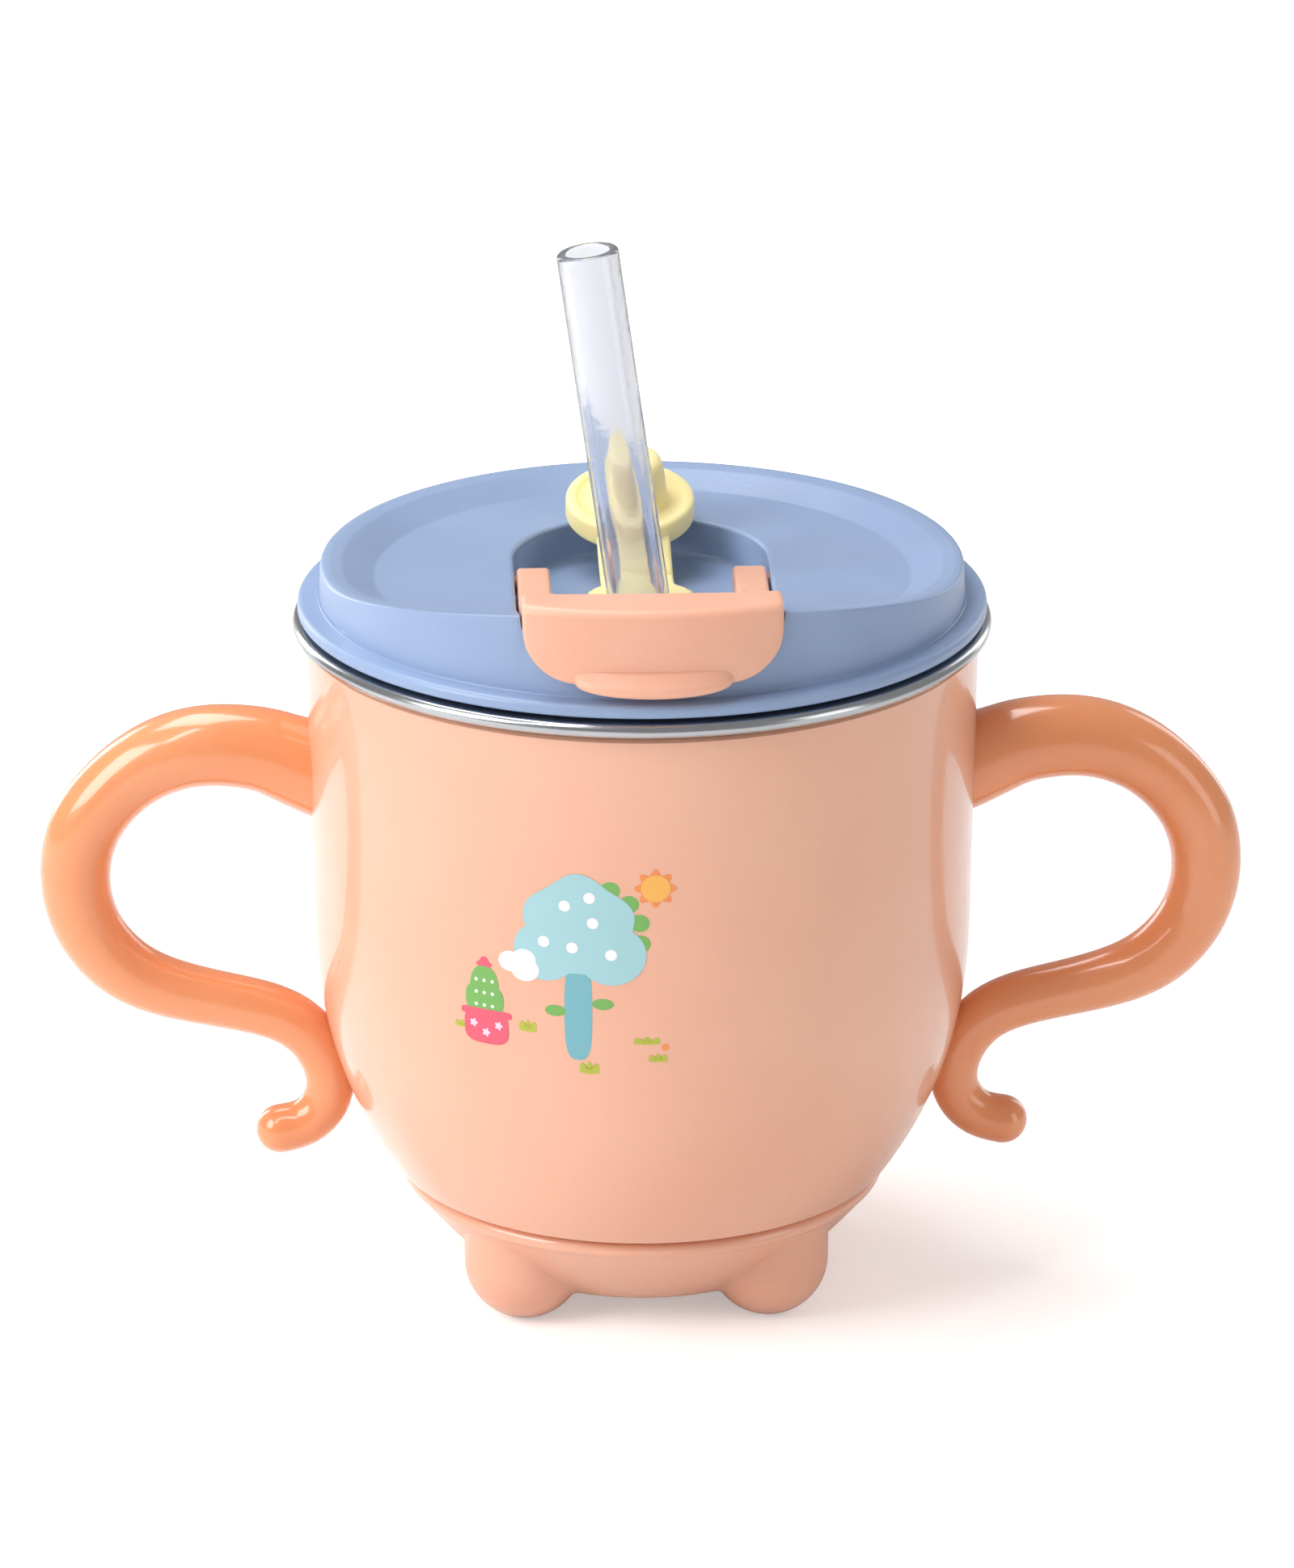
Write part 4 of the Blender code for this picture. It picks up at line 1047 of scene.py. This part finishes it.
    def build_trunnion(self, side: int, name: str) -> None:
        """A short pin that turns in the recess's wall, with a chamfered end.

        Args:
            side: -1 for the left pin and 1 for the right one.
            name: which pin it is.
        """
        r, end, chamfer = self.pin_radius, self.pin_length, self.pin_chamfer
        profile = np.array([(POLE, 0.0), (r, 0.0), (r, end - chamfer), (r - chamfer, end), (POLE, end)])
        rings = turned(profile, 32)
        out = side * (self.half_width - self.pin_sunk + rings[..., 2])
        rings = np.stack([out, self.hinge_y + rings[..., 0], self.hinge_z + rings[..., 1]], -1)
        self.shop.piece(f"clasp_pin_{name}", loft(rings), PEACH_PP, "clasp", "clasp_plastic")


# ---------------------------------------------------------------- straw and plug


@dataclass
class StrawSet:
    """The straw, its grommet and the tethered plug."""

    shop: Workshop
    # The straw, which leans about a point in its port.
    straw_y: float = -4.5
    lean: float = math.radians(8.0)
    pivot_z: float = 86.4
    outer: float = 3.8
    bore: float = 2.6
    top: float = 134.6
    bottom: float = 21.0
    # The grommet's disc and sleeve.
    disc: float = 8.0
    disc_low: float = 87.5
    disc_top: float = 88.9
    sleeve: float = 5.65
    # The strap, and where it folds.
    strap_half: float = 4.55
    strap_thick: float = 1.2
    root_flare: float = 1.9
    fold_y: float = 7.2
    # The plug: a dished cap with a nub.
    cap_centre: tuple[float, float, float] = (-0.9, 18.0, 94.9)
    cap_tilt: float = math.radians(15.0)
    cap_radius: float = 8.05
    cap_half: float = 1.65
    dish: float = 0.4
    nub_radius: float = 4.7
    nub_height: float = 6.2
    # The grommet's collar, the barb that holds it under the floor, and its hole.
    collar: float = 0.5
    barb: float = 85.3
    sleeve_end: float = 83.9
    hole: float = 4.1
    # The strap's hidden ends, its two fold grooves and its flare.
    strap_bury: float = 3.5
    strap_grip: float = 1.2
    strap_gap: float = 0.1
    grooves: tuple[float, float] = (3.9, 8.2)
    groove_width: float = 0.3
    groove_depth: float = 0.22
    flare_run: tuple[float, float] = (3.4, 2.6)

    def build(self) -> None:
        """Builds the silicone pieces."""
        self.build_straw()
        self.build_grommet()
        self.build_cap()
        self.build_strap()

    def build_straw(self) -> None:
        """Turns a tube with rounded ends and leans it about its port."""
        rise = (self.top - self.pivot_z) / math.cos(self.lean)
        fall = (self.pivot_z - self.bottom) / math.cos(self.lean)
        r, b = self.outer, self.bore
        profile = fillet_path([(r, -fall, 0.5), (r, rise, 0.55), (b, rise, 0.45), (b, -fall, 0.45)],
                              closed=True)
        rings = turned(profile, 96, (0.0, self.straw_y))
        rings[..., 2] += self.pivot_z
        rings = tilt(rings, "Y", -self.lean, (0.0, self.straw_y, self.pivot_z))
        self.shop.piece("straw_tube", loft(rings, closed=True), CLEAR_SILICONE, "straw", "clear_silicone",
                        ("drinking_straw",))

    def build_grommet(self) -> None:
        """A disc and sleeve whose hole leans with the straw."""
        low, top, sleeve = self.disc_low, self.disc_top, self.sleeve
        head, end, barb = top + self.collar, self.sleeve_end, self.barb
        outside = fillet_path([(5.0, head, 0), (5.4, head, 0.3), (5.7, top, 0.3), (self.disc, top, 0.5),
                               (self.disc, low, 0.3), (sleeve, low, 0), (sleeve, barb, 0),
                               (sleeve + 1, barb, 0.2), (sleeve, end, 0.3), (5.0, end, 0)])
        rings = turned(outside, 96, (0.0, self.straw_y))
        z = np.array([end, head])[:, None]
        a = np.linspace(0, 2 * np.pi, 96, endpoint=False)
        x = self.hole * np.cos(a) - np.tan(self.lean) * (z - self.pivot_z)
        y = self.straw_y + self.hole * np.sin(a) + 0 * z
        hole = np.stack([x, y, z + 0 * a], -1)
        shape = loft(np.concatenate([rings, hole]), closed=True)
        self.shop.piece("grommet_disc", shape, YELLOW_SILICONE, "lid", "yellow_silicone", ("straw_grommet",))

    def build_cap(self) -> None:
        """Turns the dished cap with its plug nub and tilts it on the recess's back edge."""
        r, h = self.cap_radius, self.cap_half
        dish, nub = h - self.dish, h - self.dish + self.nub_height
        wide = self.nub_radius
        profile = fillet_path([(POLE, nub, 0), (wide - 0.9, nub, 1.5), (wide - 0.4, nub - 2.6, 2.0),
                               (wide, dish, 0.7), (r - 1.7, dish, 0.8), (r - 1.2, h, 0.6), (r, h, 0.8),
                               (r, -h, 0.9), (POLE, -h, 0)])
        rings = turned(profile, 128)
        x, y, z = self.cap_centre
        rings = tilt(rings, "X", self.cap_tilt, (0.0, 0.0, 0.0)) + (x, y, z)
        self.shop.piece("plug_disc", loft(rings), YELLOW_SILICONE, "plug", "yellow_silicone", ("plug_cap",))

    def build_strap(self) -> None:
        """The strap: a rounded flat section carried from the grommet up to the cap.

        It widens towards the grommet, and two thin grooves cross it where it folds.
        """
        x, y, z = self.cap_centre
        reach = self.cap_radius - self.strap_grip
        edge_y, edge_z = y - reach * math.cos(self.cap_tilt), z - reach * math.sin(self.cap_tilt)
        low = self.disc_low + self.strap_thick / 2 + self.strap_gap
        start = self.straw_y + self.disc - self.strap_bury
        route = spline(np.array([(start, low), (5.4, low), (self.fold_y, low + 0.2),
                                 (edge_y - 1.6, (low + edge_z) / 2 - 0.2), (edge_y + 0.4, edge_z - 0.3),
                                 (edge_y + 3.0, edge_z + 0.5)]), 12)
        along = np.gradient(route, axis=0)
        along /= np.linalg.norm(along, axis=1)[:, None]
        w, t = self.strap_half, self.strap_thick / 2
        loop = fillet_path([(-w, -t, 0.4), (w, -t, 0.4), (w, t, 0.4), (-w, t, 0.4)], closed=True, steps=5)
        run = np.concatenate([[0], np.cumsum(np.linalg.norm(np.diff(route, axis=0), axis=1))])[:, None]
        groove = sum(np.exp(-(((run - at) / self.groove_width) ** 2)) for at in self.grooves)
        face = np.where(loop[:, 1] > 0, loop[:, 1] - self.groove_depth * groove, loop[:, 1])
        ys = route[:, :1] - along[:, 1:] * face
        zs = route[:, 1:] + along[:, :1] * face
        slide = np.linspace(0, x, len(route))[:, None]
        from_y, over = self.flare_run
        wide = 1 + self.root_flare / w * (1 - smooth((route[:, :1] - from_y) / over))
        rings = np.stack([slide + wide * loop[:, 0][None], ys, zs], -1)
        made = self.shop.piece("plug_strap", loft(rings), YELLOW_SILICONE, "", "yellow_silicone")
        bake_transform(made)


# ---------------------------------------------------------------- print


class Ink(Enum):
    """The inks of the transfer print, as sRGB hex."""

    AQUA = "#9fccd2"
    TEAL = "#6fb0bc"
    LEAF = "#6fae4e"
    GRASS = "#b3b72e"
    SUN = "#f6b14a"
    RAY = "#ee8b45"
    POT = "#e2506a"
    PETAL = "#f6cfe4"
    WHITE = "#f6f1f4"


@dataclass
class Print:
    """A transfer print on the shell's front: a round tree, a cloud, a sun, a potted cactus and grass."""

    shop: Workshop
    body: CupBody
    # The picture's middle: the distance round the shell from its front, and the height.
    centre: tuple[float, float] = (-10.7, 55.8)
    # The inks' thickness, how far they reach into the shell, and the share that tells shapes apart.
    film: float = 0.03
    sunk: float = 0.05
    overlap: float = 0.1

    def ink(self, ink: Ink) -> Finish:
        """An ink under a clear film, glossy like the shell."""
        return Finish(f"Transfer ink, {ink.name.lower()}", ink.value, ink.value, 0.35, coat=0.6,
                      grain_mm=0.5, relief=0.01, mottle_mm=8)

    def patch(self, x: np.ndarray, z: np.ndarray, layer: float) -> Shape:
        """Lays a flat outline on the shell.

        The outline shrinks ring by ring to its middle, and each point goes to the shell's face at
        its height, at the angle x over the radius, a hair proud for each layer.

        Args:
            x: the outline's width coordinate from the print's centre.
            z: the outline's height from the print's centre.
            layer: how many inks lie under it.

        Returns:
            The points and faces of a thin closed patch.
        """
        share = np.array([1.0, 0.8, 0.55, 0.3, 0.1])[:, None]
        mid = np.array([x.mean(), z.mean()])
        px = self.centre[0] + mid[0] + (x - mid[0]) * share
        pz = self.centre[1] + mid[1] + (z - mid[1]) * share
        top = self.wrap(px, pz, self.film * (layer + 1))
        back = self.wrap(px[::-1], pz[::-1], -self.sunk)
        return loft(np.concatenate([back, top]))

    def wrap(self, x: np.ndarray, z: np.ndarray, proud: float) -> np.ndarray:
        """Points on the shell.

        Args:
            x: distances round the shell from its front.
            z: heights.
            proud: how far the points stand out.

        Returns:
            The points, (..., 3).
        """
        radius = self.body.radius(z) + proud
        angle = x / self.body.waist_radius
        return np.stack([radius * np.sin(angle), -radius * np.cos(angle), z], -1)

    def stamp(self, name: str, ink: Ink, shapes: list[Outline], layer: int = 0) -> None:
        """Joins several patches of one ink into one piece, each a tenth of a film over the last.

        Args:
            name: what the piece shows.
            ink: its colour.
            shapes: the outlines.
            layer: how many inks lie under it.
        """
        points, faces, start = [], [], 0
        for i, (x, z) in enumerate(shapes):
            p, f = self.patch(x, z, layer + self.overlap * i)
            points.append(p)
            faces += [[point + start for point in face] for face in f]
            start += len(p)
        shape = np.concatenate(points), faces
        self.shop.piece(f"print_{name}", shape, self.ink(ink), "cup", "body_plastic")

    @staticmethod
    def blob(x: float, z: float, wide: float, tall: float, lobes: int = 0, depth: float = 0.0,
             power: float = 2.0, turn: float = 0.0) -> Outline:
        """A lobed superellipse: radius 1 + depth cos(lobes a), with |cos| and |sin| to 2 / power.

        Args:
            x: its middle's width coordinate.
            z: its middle's height.
            wide: half its width.
            tall: half its height.
            lobes: how many lobes stand out.
            depth: how far they do, as a share of its size.
            power: 2 for an ellipse, more for a squarer shape.
            turn: the first lobe's direction.

        Returns:
            The outline's x and z.
        """
        a = np.linspace(0, 2 * np.pi, 96, endpoint=False)
        r = 1 + depth * np.cos(lobes * (a - turn))
        c, s = np.cos(a), np.sin(a)
        u = r * np.sign(c) * np.abs(c) ** (2 / power)
        v = r * np.sign(s) * np.abs(s) ** (2 / power)
        return x + wide * u, z + tall * v

    @staticmethod
    def tuft(x: float, z: float, wide: float, tall: float) -> Outline:
        """A tuft of grass: a half disc whose top edge rises and falls as three blades.

        Args:
            x: its middle's width coordinate.
            z: its foot's height.
            wide: half its width.
            tall: height of its middle blade.

        Returns:
            The outline's x and z.
        """
        t = np.linspace(-1, 1, 49)
        blades = np.abs(np.cos(1.5 * np.pi * t)) ** 0.8
        upper = tall * (0.35 + 0.65 * blades * (1 - 0.35 * np.abs(t)))
        low = -0.12 * tall * (1 - t[::-1] ** 2)
        across = wide * np.concatenate([t * (1 + 0.15 * blades), t[::-1]])
        return x + across, z + np.concatenate([upper, low])

    def build(self) -> None:
        """Prints the picture, ink by ink."""
        blob = self.blob
        self.stamp("trunk", Ink.TEAL, [blob(1.6, -5.6, 1.7, 6.2, power=3.2)])
        crown = [blob(1.6, 5.4, 6.6, 6.4, 5, 0.06, turn=np.pi / 2), blob(-2.4, 2.0, 4.0, 3.8),
                 blob(5.6, 2.0, 4.2, 3.9)]
        self.stamp("crown", Ink.AQUA, crown, 1)
        places = ((0.0, 8.0), (3.4, 6.0), (-2.6, 3.2), (0.9, 2.7), (5.6, 2.0), (3.0, 9.2))
        self.stamp("dots", Ink.WHITE, [blob(x, z, 0.7, 0.7) for x, z in places], 2)
        turns = np.radians((62, 38, 14, -10, -32))
        leaves = [blob(2.2 + 7.0 * math.cos(a), 4.6 + 6.4 * math.sin(a), 1.2, 1.1) for a in turns]
        leaves += [blob(x, z, 1.3, 0.7) for x, z in ((4.6, -4.4), (-1.2, -5.6))]
        cactus = [blob(-10.4, -4.6, 2.0, 3.5, power=2.4), blob(-12.3, -5.4, 0.7, 1.6),
                  blob(-8.5, -5.6, 0.7, 1.6)]
        self.stamp("leaves", Ink.LEAF, leaves + cactus)
        spines = [blob(-10.4 + dx, -4.6 + dz, 0.22, 0.22)
                  for dx in (-1.1, 0.0, 1.1) for dz in (-1.6, 0.0, 1.6)]
        self.stamp("spines", Ink.WHITE, spines, 1)
        cloud = [blob(-6.9, 0.1, 1.5, 1.3), blob(-5.0, -0.7, 1.8, 1.5), blob(-5.1, 0.6, 1.5, 1.3)]
        self.stamp("cloud", Ink.WHITE, cloud, 2)
        self.stamp("bloom", Ink.POT, [blob(-10.4, -0.7, 0.9, 0.6, 3, 0.25, turn=np.pi / 2)], 1)
        pot = [blob(-10.2, -9.0, 3.0, 2.2, power=3.4), blob(-10.2, -7.2, 3.4, 0.5, power=5.0)]
        self.stamp("pot", Ink.POT, pot, 1)
        petals = [blob(-10.2 + dx, -9.0 + dz, 0.45, 0.45, 5, 0.25)
                  for dx, dz in ((-1.7, 0.3), (0.0, -0.7), (1.7, 0.4))]
        self.stamp("petals", Ink.PETAL, petals, 2)
        self.stamp("rays", Ink.RAY, [blob(10.9, 10.6, 2.2, 2.1, 8, 0.17)])
        self.stamp("sun", Ink.SUN, [blob(10.9, 10.6, 1.75, 1.7)], 1)
        tufts = [(-13.6, -9.6, 1.0, 0.9), (-4.7, -8.6, 1.1, 1.4), (9.9, -9.4, 1.6, 0.9),
                 (11.2, -11.7, 1.1, 1.0), (2.9, -13.4, 1.2, 1.5)]
        self.stamp("grass", Ink.GRASS, [self.tuft(*spec) for spec in tufts])
        self.stamp("poppy", Ink.RAY, [blob(12.1, -9.9, 0.45, 0.45)])


# ---------------------------------------------------------------- studio


@dataclass
class Studio:
    """A pale floor, soft boxes and the camera."""

    aim: tuple[float, float, float] = (0.6, 0.0, 64.5)
    distance: float = 900.0
    elevation: float = math.radians(20.18)
    azimuth: float = math.radians(-2.0)
    lens: float = 166.4
    ambient: float = 0.36
    # The floor's glow near the cup and far from it.
    near_glow: float = 0.35
    far_glow: float = 1.0
    glow_span: tuple[float, float] = (60.0, 220.0)
    floor_half: float = 4000.0
    film_width: float = 36.0

    # Each soft box's name, place, size and power in watts.
    BOXES = (
        ("key_box", (-640, -330, 430), (420, 460), 3.85),
        ("streak_box", (-330, -420, 760), (70, 420), 0.9),
        ("fill_box", (720, -420, 260), (300, 520), 0.9),
        ("top_box", (-190, 150, 760), (420, 420), 3.2),
        ("left_rim_box", (-640, 760, 260), (260, 760), 2.6),
        ("right_rim_box", (640, 760, 260), (260, 760), 1.1),
    )

    def build(self) -> None:
        """Sets the floor, the lights and the camera."""
        self.build_floor()
        for box in self.BOXES:
            self.build_light(*box)
        self.build_world()
        bpy.context.scene.view_settings.view_transform = "Standard"
        self.build_camera()

    def build_world(self) -> None:
        """A dim white room that lights the cup from all round, and looks plain white itself."""
        world = bpy.data.worlds.new("studio")
        world.use_nodes = True
        tree = world.node_tree
        room = tree.nodes["Background"]
        room.inputs[0].default_value = linear("#ffffff")
        seen = add(tree, "LightPath").outputs["Is Camera Ray"]
        shown = add(tree, "MapRange", {0: seen, 3: self.ambient, 4: 1.0})
        tree.links.new(shown.outputs[0], room.inputs[1])
        bpy.context.scene.world = world

    def build_floor(self) -> None:
        """A wide matt sheet just under the feet.

        The lens sees it glow, more so farther from the cup, so that it fades to plain white. The
        glow lights nothing.
        """
        mesh = bpy.data.meshes.new("floor")
        half = self.floor_half * MM
        corners = [(-half, -half, 0), (half, -half, 0), (half, half, 0), (-half, half, 0)]
        mesh.from_pydata(corners, [], [(0, 1, 2, 3)])
        sheet = bpy.data.materials.new("Paper, white")
        sheet.use_nodes = True
        tree = sheet.node_tree
        shader = tree.nodes["Principled BSDF"]
        shader.inputs["Base Color"].default_value = linear("#fbfbfb")
        shader.inputs["Roughness"].default_value = 0.9
        shader.inputs["Emission Color"].default_value = linear("#ffffff")
        place = add(tree, "TexCoord").outputs["Object"]
        away = add(tree, "VectorMath", {0: place}, operation="LENGTH").outputs["Value"]
        near, far = (reach * MM for reach in self.glow_span)
        glow = add(tree, "MapRange", {0: away, 1: near, 2: far, 3: self.near_glow, 4: self.far_glow})
        seen = add(tree, "LightPath").outputs["Is Camera Ray"]
        shown = add(tree, "Math", {0: glow.outputs[0], 1: seen}, operation="MULTIPLY")
        tree.links.new(shown.outputs[0], shader.inputs["Emission Strength"])
        mesh.materials.append(sheet)
        floor = bpy.data.objects.new("floor", mesh)
        bpy.context.scene.collection.objects.link(floor)

    def build_light(self, name: str, place: tuple[float, float, float], size: tuple[float, float],
                    power: float) -> None:
        """A rectangular soft box that faces the cup.

        Args:
            name: the light's name.
            place: where it hangs.
            size: its width and height.
            power: its power in watts.
        """
        lamp = bpy.data.lights.new(name, "AREA")
        lamp.shape = "RECTANGLE"
        lamp.size, lamp.size_y = size[0] * MM, size[1] * MM
        lamp.energy = power
        made = bpy.data.objects.new(name, lamp)
        made.location = np.array(place) * MM
        self.face(made)
        bpy.context.scene.collection.objects.link(made)

    def build_camera(self) -> None:
        """The camera, a long lens looking slightly down on the lid."""
        camera = bpy.data.cameras.new("camera")
        camera.lens = self.lens
        camera.sensor_width = self.film_width
        made = bpy.data.objects.new("camera", camera)
        flat, rise = self.distance * math.cos(self.elevation), self.distance * math.sin(self.elevation)
        away = np.array((flat * math.sin(self.azimuth), -flat * math.cos(self.azimuth), rise))
        made.location = (np.array(self.aim) + away) * MM
        self.face(made)
        bpy.context.scene.collection.objects.link(made)
        bpy.context.scene.camera = made

    def face(self, made: bpy.types.Object) -> None:
        """Turns an object's -Z towards the aim point."""
        way = Vector(np.array(self.aim) * MM) - made.location
        made.rotation_euler = way.to_track_quat("-Z", "Y").to_euler()


def main() -> None:
    """Builds the cup's looks and the studio."""
    logging.basicConfig(level=logging.INFO, format="%(message)s")
    shop = Workshop()
    body = CupBody(shop)
    lid = Lid(shop)
    for part in (body, lid, Clasp(shop, lid), StrawSet(shop), Print(shop, body), Studio()):
        part.build()
        LOG.info("%s done", type(part).__name__)


if __name__ == "__main__":
    main()
